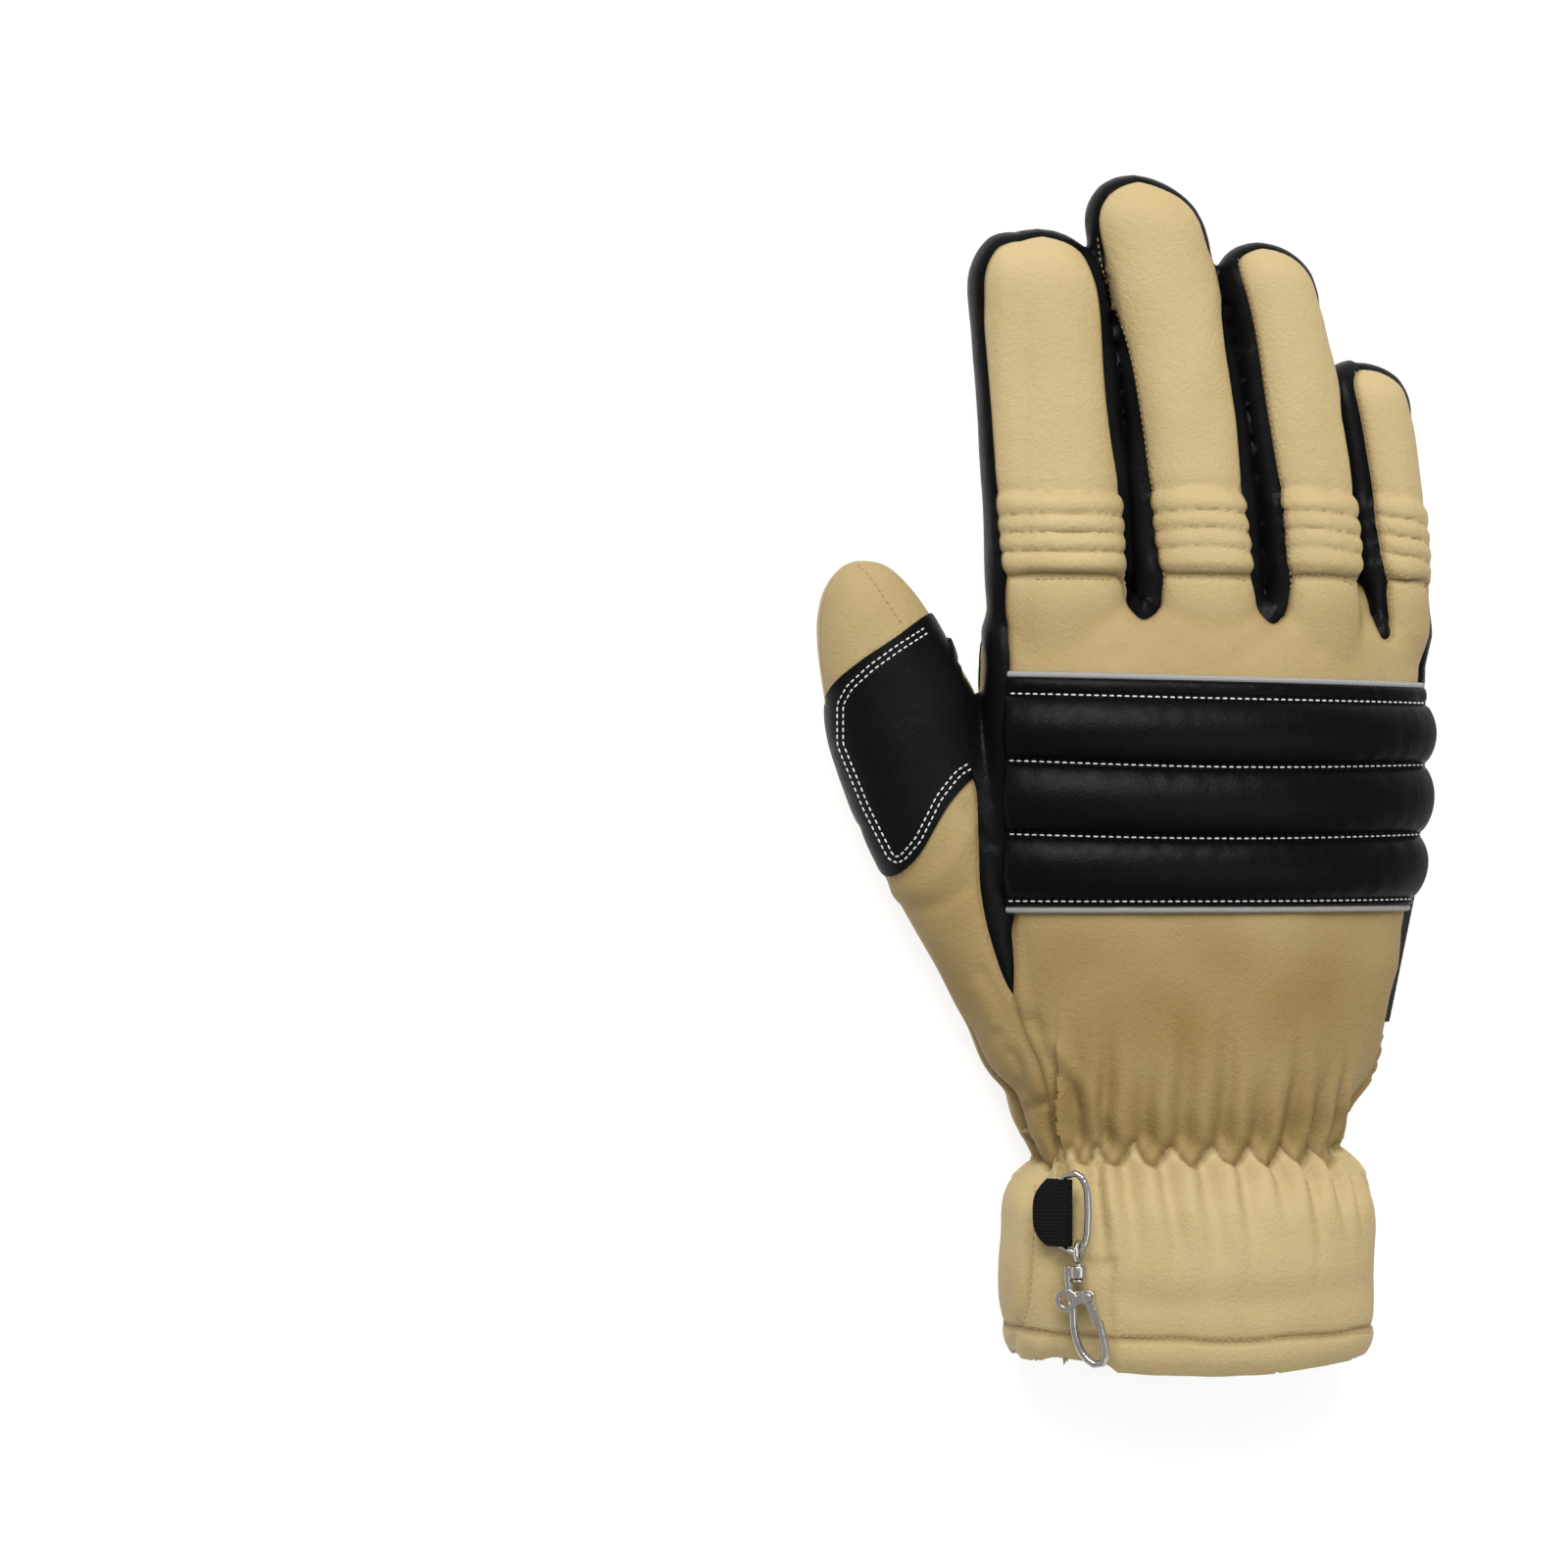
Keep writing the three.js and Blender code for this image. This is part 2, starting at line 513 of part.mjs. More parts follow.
// A closed outline with each edge moved outwards
function grownOutline(outline, amount) {
  const area = outline.reduce((sum, [x, y], i) => {
    const [nx, ny] = outline[(i + 1) % outline.length];
    return sum + x * ny - nx * y;
  }, 0);
  const sign = Math.sign(area);
  return outline.map(([x, y], i) => {
    const [px, py] = outline[(i + outline.length - 1) % outline.length];
    const [nx, ny] = outline[(i + 1) % outline.length];
    const before = new THREE.Vector2(y - py, px - x).normalize().multiplyScalar(sign);
    const after = new THREE.Vector2(ny - y, x - nx).normalize().multiplyScalar(sign);
    const mean = before.clone().add(after).normalize();
    const stretch = amount / Math.max(mean.dot(after), 0.4);
    return [x + mean.x * stretch, y + mean.y * stretch];
  });
}

// The zigzag edge of the wrist gather
const gatherReachSteps = 32;
function zigzagSide(fingerSide, clearance) {
  const line = [];
  const half = gatherPitch / 2;
  for (let k = -gatherReachSteps; k <= gatherReachSteps; k += 1) {
    line.push([k * half, (k % 2 === 0 ? gatherTop : gatherBottom) + clearance]);
  }
  const end = fingerSide ? 2 * palmLength : -2 * palmLength;
  return prism([...line, [gatherReachSteps * half, end], [-gatherReachSteps * half, end]], farDown, farUp);
}
const handSide = zigzagSide(true, gap / 2);
const cuffSide = zigzagSide(false, -gap / 2);

// Everything on the finger side or wrist side of a straight seam across the glove
const beyond = (y) => block(-farOut, farOut, y, farOut, farDown, farUp);
const before = (y) => block(-farOut, farOut, -farOut, y, farDown, farUp);

const nodes = [];
function addNode(name, solid, material) {
  nodes.push({ name, solid, material });
}

// Bodies of a cut, largest first, without the crumbs that the cut leaves
function bodiesOf(solid, least = 30) {
  return solid.decompose().filter((b) => b.volume() > least).sort((a, b) => b.volume() - a.volume());
}
const largest = (solid) => bodiesOf(solid)[0];
const middleX = (solid) => (solid.boundingBox().min[0] + solid.boundingBox().max[0]) / 2;

const underHigh = underEdge("High", -gap / 2);
const underHighWide = underEdge("High", gap / 2);
const underLow = underEdge("Low", -gap / 2);
const underLowWide = underEdge("Low", gap / 2);
const thumbBackZone = prism(thumbBackOutline, thumbMiddle + gap / 2, farUp);
const thumbBackWide = prism(grownOutline(thumbBackOutline, gap), thumbMiddle - gap / 2, farUp);
const thumbFrontZone = prism(thumbFrontOutline, farDown, thumbMiddle - gap / 2);
const thumbFrontWide = prism(grownOutline(thumbFrontOutline, gap), farDown, thumbMiddle + gap / 2);

const hand = shell.intersect(handSide);
const cuff = shell.intersect(cuffSide);

// Pale leather of the back, with the thumb's side of the lower back cut along its seam
const radialOutline = outlineOf([
  ...thumbSeamBack, [radialShare, 0.28], [radialShare, 2], [-far, 2], [-far, -0.2], [-0.363, -0.2],
]);
const radialZone = prism(radialOutline, farDown, farUp);
const radialWide = prism(grownOutline(radialOutline, gap), farDown, farUp);
const backLeather = hand.subtract(underHighWide).subtract(radialWide);

// A thin curtain between two neighbouring fingers, nearer to the narrower one
function curtain(row, next) {
  const spots = [ribSeamAt, ...[0.2, 0.4, 0.6, 0.8, 1.1].map((share) => palmLength + share * middleLength)];
  const line = spots.map((y) => {
    const [x0, x1] = [row, next].map((r) => (
      fingerCentre(r, THREE.MathUtils.clamp((y - knuckleAt) / (r.length * middleLength), 0, 1))[0]));
    return [(x0 * next.width + x1 * row.width) / (row.width + next.width), y];
  });
  const edges = (z) => line.map(([x, y]) => [[x - gap / 2, y, z], [x + gap / 2, y, z]]);
  return slabBetween(edges(farUp), edges(farDown));
}
let fingerLeather = backLeather.intersect(beyond(ribSeamAt + gap / 2));
fingerRows.slice(1).forEach((row, i) => {
  fingerLeather = fingerLeather.subtract(curtain(fingerRows[i], row));
});
const fingerBacks = bodiesOf(fingerLeather)
  .slice(0, 4).sort((a, b) => middleX(a) - middleX(b));
fingerRows.forEach((row, i) => addNode(`finger_back_${row.name}`, fingerBacks[i], paleLeather));
const backMiddle = backLeather.intersect(before(ribSeamAt - gap / 2)).intersect(beyond(guardBottomAt + gap / 2));
addNode("back_panel", largest(backMiddle), paleLeather);
addNode("back_lower", largest(backLeather.intersect(before(guardBottomAt - gap / 2))), paleLeather);

// Black side walls, parted at the fingertips
let sideWalls = hand.intersect(underHigh).subtract(underLowWide).subtract(radialWide).intersect(beyond(radialPointAt));
for (const row of fingerRows) {
  const [x, y] = fingerCentre(row, 1);
  sideWalls = sideWalls.subtract(block(x - gap / 2, x + gap / 2, y - 0.3 * fingerWidth, y + 0.4 * fingerWidth, farDown, farUp));
}
const wallNames = ["index_outer", "index_middle", "middle_ring", "ring_pinky", "pinky_outer"];
const walls = bodiesOf(sideWalls).slice(0, 5).sort((a, b) => middleX(a) - middleX(b));
walls.forEach((wall, i) => addNode(`gusset_${wallNames[i]}`, wall, blackLeather));

// Thumb halves and the palm with its finger fronts
const thumbBack = hand.intersect(thumbBackZone).intersect(underLow.add(radialZone));
addNode("thumb_back", largest(thumbBack), paleLeather);
addNode("thumb_front", largest(hand.intersect(thumbFrontZone)), paleLeather);
const palm = hand.intersect(underLow).subtract(thumbBackWide).subtract(thumbFrontWide);
addNode("palm_panel", largest(palm), paleLeather);

// Cuff, its two side seams and its folded hem
const hemLine = (offset) => {
  const arc = [];
  for (let k = -8; k <= 8; k += 1) {
    const across = k / 8;
    arc.push([across * cuffWidth, -cuffLength + hemWidth + offset + hemCurve * across * across * 2]);
  }
  return arc;
};
const aboveHem = prism([...hemLine(gap / 2), [cuffWidth, cuffLength], [-cuffWidth, cuffLength]], farDown, farUp);
const belowHem = prism([...hemLine(-gap / 2), [cuffWidth, -3 * cuffLength], [-cuffWidth, -3 * cuffLength]], farDown, farUp);
const cuffRun = 0.35 * cuffLength;
const cuffPalmOutline = (clearance) => [
  [0.36 * wristWidth + clearance, cuffRun], [0.48 * cuffWidth + clearance, -cuffLength - cuffRun],
  [-0.48 * cuffWidth - clearance, -cuffLength - cuffRun], [-0.46 * wristWidth - clearance, cuffRun],
];
const cuffSeamHeight = 0.45 * cuffThickness;
const cuffBand = cuff.intersect(aboveHem);
addNode("cuff_palm", largest(cuffBand.intersect(prism(cuffPalmOutline(-gap / 2), farDown, cuffSeamHeight))), paleLeather);
addNode("cuff_back", largest(cuffBand.subtract(prism(cuffPalmOutline(gap / 2), farDown, cuffSeamHeight + gap))), paleLeather);
const hemForm = bodySolid(hemFold, bodySides, bodyPlaces.slice(0, 4), false).intersect(aboveFloor)
  .subtract(innerForm().intersect(aboveInnerFloor));
addNode("cuff_hem", largest(hemForm.intersect(belowHem)), paleLeather);

// Raised patches: a layer that lies on the leather, inside a plan outline
const layerInside = outerForm(gap);
const layerOutside = outerForm(gap + patchLeather);
const layer = layerOutside.intersect(aboveFloor).subtract(layerInside);

const palmPatchOutline = outlineOf([
  [0.448, 0.905], [0.2, 0.915], [0, 0.93], [-0.22, 0.94], [-0.4, 0.955], [-0.5, 0.97], [-0.5, 0.79],
  ...palmHookLine.slice(2).reverse().map(([across, along]) => [across + 0.003, along]),
  [-0.22, 0.32], [-0.1, 0.305], [0.085, 0.28], [0.36, 0.256], [0.42, 0.4], [0.448, 0.6],
]);
addNode("palm_patch", largest(layer.intersect(prism(palmPatchOutline, farDown, 0.3 * palmThickness))), blackLeather);

// Black thumb patch: over the back of the thumb, round its inner edge and down to the crotch
const thumbPatchBack = outlineOf([
  [-0.63, 0.995], [-0.69, 0.955], [-0.745, 0.91], [-0.815, 0.875], [-0.838, 0.835], [-0.834, 0.755],
  [-0.775, 0.63], [-0.715, 0.535], [-0.683, 0.528], [-0.665, 0.535], [-0.625, 0.57], [-0.58, 0.64],
  [-0.54, 0.69], [-0.53, 0.76], [-0.53, 0.84], [-0.56, 0.9],
]);
const thumbPatchFront = outlineOf([
  [-0.63, 0.995], [-0.655, 0.94], [-0.632, 0.885], [-0.61, 0.825], [-0.56, 0.745], [-0.525, 0.7],
  [-0.515, 0.79], [-0.53, 0.84], [-0.56, 0.9],
]);
const thumbPatch = prism(thumbPatchBack, thumbMiddle, farUp).add(prism(thumbPatchFront, farDown, thumbMiddle + 0.1));
const thumbLayer = thumbSolid(gap + patchLeather, limbSides).intersect(aboveFloor).subtract(outerForm(gap));
addNode("thumb_patch", largest(thumbLayer.intersect(thumbPatch)), blackLeather);

// Knuckle guard: padded channels that lie across the back, thin at their seams
const guardSlant = 0.02;
const guardSeat = gap + 0.2;
const guardStart = THREE.MathUtils.degToRad(14);
const guardEnd = THREE.MathUtils.degToRad(142);
const guardColumns = 13;
const guardRowsEach = 4;
const guardAngles = Array.from({ length: guardColumns }, (_, c) => (
  guardStart + (c / (guardColumns - 1)) * (guardEnd - guardStart)));
const channelLength = (guardTopAt - guardBottomAt) / guardChannels;

function guardPoint(y, angle, offset) {
  const [x, , ] = bodyPoint(y, angle);
  return bodyPoint(y - guardSlant * (x + palmWidth / 2) * (y - guardBottomAt) / (guardTopAt - guardBottomAt), angle, offset);
}
const guardUpper = [];
const guardLower = [];
for (let c = 0; c < guardChannels; c += 1) {
  for (let r = c === 0 ? 0 : 1; r < guardRowsEach; r += 1) {
    const t = r / (guardRowsEach - 1);
    const y = guardBottomAt + pipingDiameter / 2 + gap + (c + t) * (channelLength - (pipingDiameter + 2 * gap) / guardChannels);
    const pad = guardEdge + (guardThickness - guardEdge) * Math.sin(t * Math.PI) ** 0.6;
    guardLower.push(guardAngles.map((angle) => guardPoint(y, angle, guardSeat)));
    guardUpper.push(guardAngles.map((angle, k) => {
      const end = Math.min(k, guardColumns - 1 - k) === 0 ? guardEdge : pad;
      return guardPoint(y, angle, guardSeat + end);
    }));
  }
}
addNode("knuckle_guard", slabBetween(guardUpper, guardLower), blackLeather);

// Grey piping along the guard's two edges
const pipingSteps = 12;
for (const [name, y] of [["piping_upper", guardTopAt], ["piping_lower", guardBottomAt]]) {
  const line = guardAngles.map((angle) => guardPoint(y, angle, guardSeat + pipingDiameter / 2));
  addNode(name, bar(line, pipingDiameter, wireSides, pipingSteps), greyPiping);
}

// Bare folded tag, sewn in on the little finger's side
const tagAngle = THREE.MathUtils.degToRad(-8);
const tagHang = THREE.MathUtils.degToRad(58);
const tagRows = [-0.5, 0.5].map((share) => bodyPoint(tagAt + share * tagLength, tagAngle, gap));
const tagFace = (side) => tagRows.map(([x, y, z]) => {
  const [dx, dz] = [Math.sin(tagHang) * side * tagThickness / 2, Math.cos(tagHang) * side * tagThickness / 2];
  const [across, down] = [Math.cos(tagHang) * tagWidth, Math.sin(tagHang) * tagWidth];
  return [[x + dx, y, z + dz], [x + dx + across, y, z + dz - down]];
});
const tagSolid = slabBetween(tagFace(1), tagFace(-1));
addNode("side_label", tagSolid.subtract(layerInside), blackWebbing);

// Frame of the snap hook: along the cuff, across it and out from the leather of its thumb side
const claspAngle = THREE.MathUtils.degToRad(136);
const claspUpper = new THREE.Vector3(...bodyPoint(-0.27 * cuffLength, claspAngle));
const claspFoot = new THREE.Vector3(...bodyPoint(-0.9 * cuffLength, claspAngle));
const beside = new THREE.Vector3(...bodyPoint(-cuffLength * 0.5, claspAngle - 0.1))
  .sub(new THREE.Vector3(...bodyPoint(-cuffLength * 0.5, claspAngle + 0.1)));
const downCuff = claspFoot.clone().sub(claspUpper).normalize();
const claspTop = claspUpper.clone().addScaledVector(downCuff, -0.2 * cuffLength);
const outCuff = downCuff.clone().cross(beside).normalize();
const acrossCuff = outCuff.clone().cross(downCuff).normalize();

// A point of the hook: across, down the cuff and out from the leather
function onCuff(across, down, out) {
  return claspTop.clone().addScaledVector(acrossCuff, across).addScaledVector(downCuff, down)
    .addScaledVector(outCuff, out).toArray();
}

// Webbing loop, folded round the ring's straight bar
const webbingFrom = 3;
const foldRadius = ringWire / 2 + gap + webbingThickness;
const foldInner = ringWire / 2 + 1.5 * gap;
function webbingProfile(radius) {
  const points = [[-webbingReach, -radius]];
  for (let k = 0; k <= 8; k += 1) {
    const turn = -Math.PI / 2 + (k / 8) * Math.PI;
    points.push([Math.cos(turn) * radius, Math.sin(turn) * radius]);
  }
  points.push([-webbingReach, radius]);
  return points;
}
const webbingOut = claspLift + foldRadius;
const webbingLine = (down, radius) => (
  webbingProfile(radius).map(([across, out]) => onCuff(across, down, webbingOut + out)));
const webbingEnds = [webbingFrom, webbingFrom + webbingWidth];
addNode("webbing_loop", slabBetween(
  webbingEnds.map((down) => webbingLine(down, foldRadius)),
  webbingEnds.map((down) => webbingLine(down, foldInner)),
), blackWebbing);

// Ring: a straight bar in the webbing's fold and a bow outside it
const ringHalf = webbingWidth / 2 + 3 * gap + ringWire / 2;
const ringMiddle = webbingFrom + webbingWidth / 2;
function ringBow(turn) {
  const across = Math.abs(Math.cos(turn)) ** 0.6 * ringReach;
  return [across + 0.2, Math.sign(turn) * Math.abs(Math.sin(turn)) ** 0.6 * ringHalf];
}
const ringLine = [[0, -ringHalf * 0.85], [0, ringHalf * 0.85]];
for (let k = 1; k < 10; k += 1) ringLine.push(ringBow(Math.PI / 2 - (k / 10) * Math.PI));
const ringPoints = ringLine.map(([a, d]) => onCuff(a, ringMiddle + d, webbingOut));
addNode("d_ring", wireLoop(ringPoints, ringWire, wireSides, outCuff), nickel);

// Snap hook: an eye that hangs on the ring, a hook that swivels on the eye's stem, and a sprung lever
const eyeTurn = THREE.MathUtils.degToRad(65);
const [swivelAcross, eyeFromMiddle] = ringBow(eyeTurn);
const collarDiameter = 4.2;
const collarLength = 3;
const stemDiameter = 1.8;
const stemOut = claspLift + collarDiameter / 2;
const eyeRadius = 2.6;
const eyeWire = 1.5;
const eyeSides = 10;
const eyeDown = ringMiddle + eyeFromMiddle;
const hookOut = claspLift + claspWire / 2;

// A turned piece along the hook's own length, from radius and place pairs
function turned(profile, across, down, out) {
  const lathe = new THREE.LatheGeometry(profile.map(([r, d]) => new THREE.Vector2(r, d)), eyeSides);
  lathe.applyMatrix4(new THREE.Matrix4().makeBasis(acrossCuff.clone().negate(), downCuff, outCuff));
  lathe.translate(...onCuff(across, down, out));
  return solidOf(lathe);
}

// A flat piece of the hook, cut to an outline and lying at a height over the leather
function plate(shape, from, to) {
  const geometry = new THREE.ExtrudeGeometry(shape, { depth: to - from, bevelEnabled: false, curveSegments: 5 });
  geometry.translate(0, 0, -to);
  geometry.applyMatrix4(new THREE.Matrix4().makeBasis(acrossCuff, downCuff, outCuff.clone().negate()));
  geometry.translate(...onCuff(swivelAcross, collarAt, 0));
  return solidOf(geometry);
}

function disc(across, down, radius, hole = 0) {
  const shape = new THREE.Shape();
  shape.absarc(across, down, radius, 0, 2 * Math.PI);
  if (hole > 0) {
    const opening = new THREE.Path();
    opening.absarc(across, down, hole, 0, 2 * Math.PI, true);
    shape.holes.push(opening);
  }
  return shape;
}

// A straight strip between two points, of a given width
function strip([x0, y0], [x1, y1], width) {
  const side = new THREE.Vector2(y0 - y1, x1 - x0).normalize().multiplyScalar(width / 2);
  return new THREE.Shape([
    new THREE.Vector2(x0 + side.x, y0 + side.y), new THREE.Vector2(x0 - side.x, y0 - side.y),
    new THREE.Vector2(x1 - side.x, y1 - side.y), new THREE.Vector2(x1 + side.x, y1 + side.y),
  ]);
}

const eyePoints = Array.from({ length: eyeSides }, (_, k) => {
  const turn = (k / eyeSides) * 2 * Math.PI;
  return onCuff(swivelAcross, eyeDown + Math.cos(turn) * eyeRadius, stemOut + Math.sin(turn) * eyeRadius);
});
const stemStart = eyeDown + eyeRadius - 0.3;
const collarAt = eyeDown + eyeRadius + eyeWire / 2 + gap;
const stemLength = collarAt + collarLength + gap - stemStart;
const rivet = 0.8;
const bore = stemDiameter / 2 + gap;
const stem = turned([
  [0, 0], [stemDiameter / 2, 0], [stemDiameter / 2, stemLength], [bore + 0.2, stemLength],
  [bore + 0.2, stemLength + rivet], [0, stemLength + rivet],
], swivelAcross, stemStart, stemOut);
addNode("clasp_swivel", wireLoop(eyePoints, eyeWire, wireSides, acrossCuff).add(stem), nickel);

// The hook: a collar on the stem, a long arm, a round foot and a short arm that the gate closes
const collar = turned([
  [bore, 0], [collarDiameter / 2, 0], [collarDiameter / 2, collarLength], [bore, collarLength], [bore, 0],
], swivelAcross, collarAt, stemOut);
const clipRows = [
  [-0.34, 0.0], [-0.36, 0.1], [-0.3, 0.22], [-0.19, 0.42], [-0.17, 0.58], [-0.08, 0.73], [0.15, 0.88],
  [0.5, 0.96], [0.74, 0.93], [0.79, 0.84], [0.71, 0.69], [0.6, 0.53],
];
const clipLine = clipRows.map(([across, down]) => (
  onCuff(swivelAcross + across * claspWidth, collarAt + down * claspLength, hookOut)));
const pivot = [0.32 * claspWidth, 0.3 * claspLength];
const lugTop = claspLift + claspWire;
const leverFrom = lugTop + gap;
const leverTo = leverFrom + leverThickness;
const pinTop = leverTo + gap;
const lug = plate(strip([-0.2 * claspWidth, pivot[1]], pivot, 3.2), claspLift + 0.2, lugTop - 0.1);
const pinSeat = plate(disc(...pivot, 1.6), claspLift + 0.2, lugTop);
const pin = plate(disc(...pivot, pinDiameter / 2), lugTop - 0.5, pinTop + 0.5);
const pinHead = plate(disc(...pivot, pinDiameter * 0.8), pinTop, pinTop + 0.6);
const hookBody = bar(clipLine, claspWire, wireSides, 18).add(collar).add(lug).add(pinSeat).add(pin).add(pinHead);
addNode("clasp_hook", hookBody, nickel);

// The lever: a thumb loop, an arm to the pin and the gate
const thumbLoop = [-0.32 * claspWidth, 0.33 * claspLength];
const gateEnd = [0.62 * claspWidth, 0.56 * claspLength];
const pinHole = plate(disc(...pivot, pinDiameter / 2 + gap), leverFrom - 1, leverTo + 1);
const leverBody = plate(disc(...thumbLoop, 3, 1.7), leverFrom, leverTo)
  .add(plate(strip([thumbLoop[0] + 2.2, thumbLoop[1]], pivot, 2.2), leverFrom, leverTo))
  .add(plate(disc(...pivot, 1.9), leverFrom, leverTo))
  .add(plate(strip(pivot, gateEnd, 2), leverFrom, leverTo))
  .subtract(pinHole);
addNode("clasp_lever", leverBody, nickel);

const group = new THREE.Group();
function snapped(point) {
  for (let axis = 0; axis < 3; axis += 1) point[axis] = Math.round(point[axis] / crumbGrid) * crumbGrid;
}

function meshOf({ name, solid, material }) {
  const tidy = solid.simplify(crumb).warp(snapped).simplify(crumb);
  const { vertProperties, triVerts, numProp } = tidy.getMesh();
  const positions = new Float32Array((vertProperties.length / numProp) * 3);
  for (let i = 0; i < positions.length / 3; i += 1) {
    for (let axis = 0; axis < 3; axis += 1) positions[i * 3 + axis] = vertProperties[i * numProp + axis];
  }
  const geometry = new THREE.BufferGeometry();
  geometry.setAttribute("position", new THREE.BufferAttribute(positions, 3));
  geometry.setIndex(new THREE.BufferAttribute(new Uint32Array(triVerts), 1));
  geometry.computeVertexNormals();
  const mesh = new THREE.Mesh(geometry, material);
  mesh.name = name;
  return mesh;
}
for (const node of nodes) group.add(meshOf(node));

// Origin under the middle of the bounding box, on the surface that the glove lies on
const bounds = new THREE.Box3().setFromObject(group);
group.position.set(-(bounds.min.x + bounds.max.x) / 2, -(bounds.min.y + bounds.max.y) / 2, -bounds.min.z);
group.updateMatrixWorld(true);

export default group;
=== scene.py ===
# Right-hand leather firefighter glove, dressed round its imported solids.
# A fine skin is lofted from the glove's own sections, parted into its leather panels along the
# solids' seams, and each panel gets its sunk seam, its thickness, its leather and its stitches.
import math
import random

import bmesh
import bpy
import numpy as np
from mathutils import Matrix, Vector, noise
from mathutils.bvhtree import BVHTree
from mathutils.kdtree import KDTree


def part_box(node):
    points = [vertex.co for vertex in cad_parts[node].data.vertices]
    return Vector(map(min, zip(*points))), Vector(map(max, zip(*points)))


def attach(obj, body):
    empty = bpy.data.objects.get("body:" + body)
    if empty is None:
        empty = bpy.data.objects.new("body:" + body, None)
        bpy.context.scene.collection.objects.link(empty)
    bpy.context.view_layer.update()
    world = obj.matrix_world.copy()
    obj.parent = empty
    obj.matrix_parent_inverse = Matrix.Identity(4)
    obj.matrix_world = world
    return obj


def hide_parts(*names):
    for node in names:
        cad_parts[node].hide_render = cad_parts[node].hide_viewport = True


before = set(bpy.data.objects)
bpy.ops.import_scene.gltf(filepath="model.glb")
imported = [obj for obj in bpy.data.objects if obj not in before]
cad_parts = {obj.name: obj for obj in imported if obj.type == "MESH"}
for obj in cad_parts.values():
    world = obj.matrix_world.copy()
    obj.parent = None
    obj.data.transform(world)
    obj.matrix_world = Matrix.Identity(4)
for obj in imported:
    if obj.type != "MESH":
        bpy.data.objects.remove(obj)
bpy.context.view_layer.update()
bpy.ops.object.select_all(action="DESELECT")
random.seed(7)

MM = 0.001

# Main sizes of the glove, in millimetres, with the wrist gather at y = 0
PALM_LENGTH = 137.0
CUFF_LENGTH = 57.0
MIDDLE_LENGTH = 137.5
THUMB_LENGTH = 155.0
PALM_WIDTH = 117.0
WRIST_WIDTH = 85.0
CUFF_WIDTH = 97.0
PALM_THICKNESS = 41.0
WRIST_THICKNESS = 37.5
CUFF_THICKNESS = 46.0
FINGER_WIDTH = 31.0
FINGER_THICKNESS = 26.0
TIP_ROUND = 0.47  # radius of a fingertip, as a share of the finger's width
THUMB_WIDTH = 40.0
THUMB_THICKNESS = 28.0
HEM_CURVE = 4.5
WEB_ROUND = 3.0
RIB_SEAM = 147.0
RIB_PITCH = 5.0
RIB_COUNT = 4
RIB_HEIGHT = 1.9
GATHER_PITCH = 10.25
GUARD_TOP = 121.0
GUARD_BOTTOM = 62.0
KNUCKLE = 0.818 * PALM_LENGTH

# Where the wrist gather's middle lies in the row frame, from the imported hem
hem_low, hem_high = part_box("cuff_hem")
WRIST_X = (hem_low[0] + hem_high[0]) / 2 + 4.25 * MM
WRIST_Y = hem_low[1] + CUFF_LENGTH * MM

# Sections of the hand and cuff, as shares of the sizes above
HAND_COLUMNS = (
    "along", "palm", "wrist", "cuff", "centre", "crown", "lift", "rise", "drop", "radial", "ulnar",
)
HAND_ROWS = (
    (-1.0, 0, 0, 0.94, -0.03, 0.98, 0, 0, 0.03, 0.5, 0.47),
    (-0.91, 0, 0, 0.98, -0.035, 1, 0, 0, 0.03, 0.5, 0.47),
    (-0.55, 0, 0, 1, -0.042, 1, 0, 0, 0.04, 0.5, 0.46),
    (-0.3, 0, 0.09, 0.91, -0.034, 1, 0.005, 0, 0.05, 0.5, 0.45),
    (-0.15, 0, 0.5, 0.5, -0.034, 1, 0.02, 0, 0.07, 0.5, 0.44),
    (-0.02, 0, 0.9, 0.1, -0.036, 1, 0.04, 0.01, 0.09, 0.5, 0.43),
    (0.022, 0, 1, 0, -0.036, 1, 0.042, 0.02, 0.1, 0.5, 0.42),
    (0.073, 0.13, 0.87, 0, -0.028, 1, 0.042, 0.01, 0.12, 0.52, 0.42),
    (0.146, 0.3, 0.7, 0, -0.016, 1, 0.042, 0, 0.14, 0.54, 0.41),
    (0.277, 0.47, 0.53, 0, -0.011, 1, 0.042, 0, 0.17, 0.56, 0.4),
    (0.365, 0.65, 0.35, 0, -0.012, 1, 0.042, 0, 0.2, 0.56, 0.4),
    (0.482, 0.87, 0.13, 0, -0.011, 1, 0.042, 0, 0.24, 0.56, 0.39),
    (0.62, 0.99, 0, 0, -0.005, 1.02, 0.042, 0, 0.27, 0.56, 0.38),
    (0.766, 1, 0, 0, 0, 1, 0.042, 0, 0.28, 0.56, 0.37),
    (0.89, 1, 0, 0, 0.003, 0.97, 0.042, 0.02, 0.29, 0.57, 0.35),
    (0.964, 0.98, 0, 0, 0.002, 0.92, 0.045, 0.08, 0.3, 0.6, 0.34),
    (1.0, 0.93, 0, 0, 0, 0.86, 0.05, 0.15, 0.3, 0.62, 0.34),
)

# The fingers: side and lean are shares of the palm's width, length of the middle finger's,
# width and thick of the finger's sizes, height and dip of the palm's thickness
FINGER_COLUMNS = ("name", "side", "lean", "length", "width", "thick", "height", "dip")
FINGER_ROWS = (
    ("index", -0.326, -0.056, 0.898, 1.1, 1.02, 0.56, 0.06),
    ("middle", -0.008, -0.158, 1.0, 1.0, 1.0, 0.6, 0.07),
    ("ring", 0.24, -0.125, 0.88, 0.82, 0.95, 0.57, 0.06),
    ("pinky", 0.432, -0.066, 0.656, 0.7, 0.8, 0.28, 0.03),
)

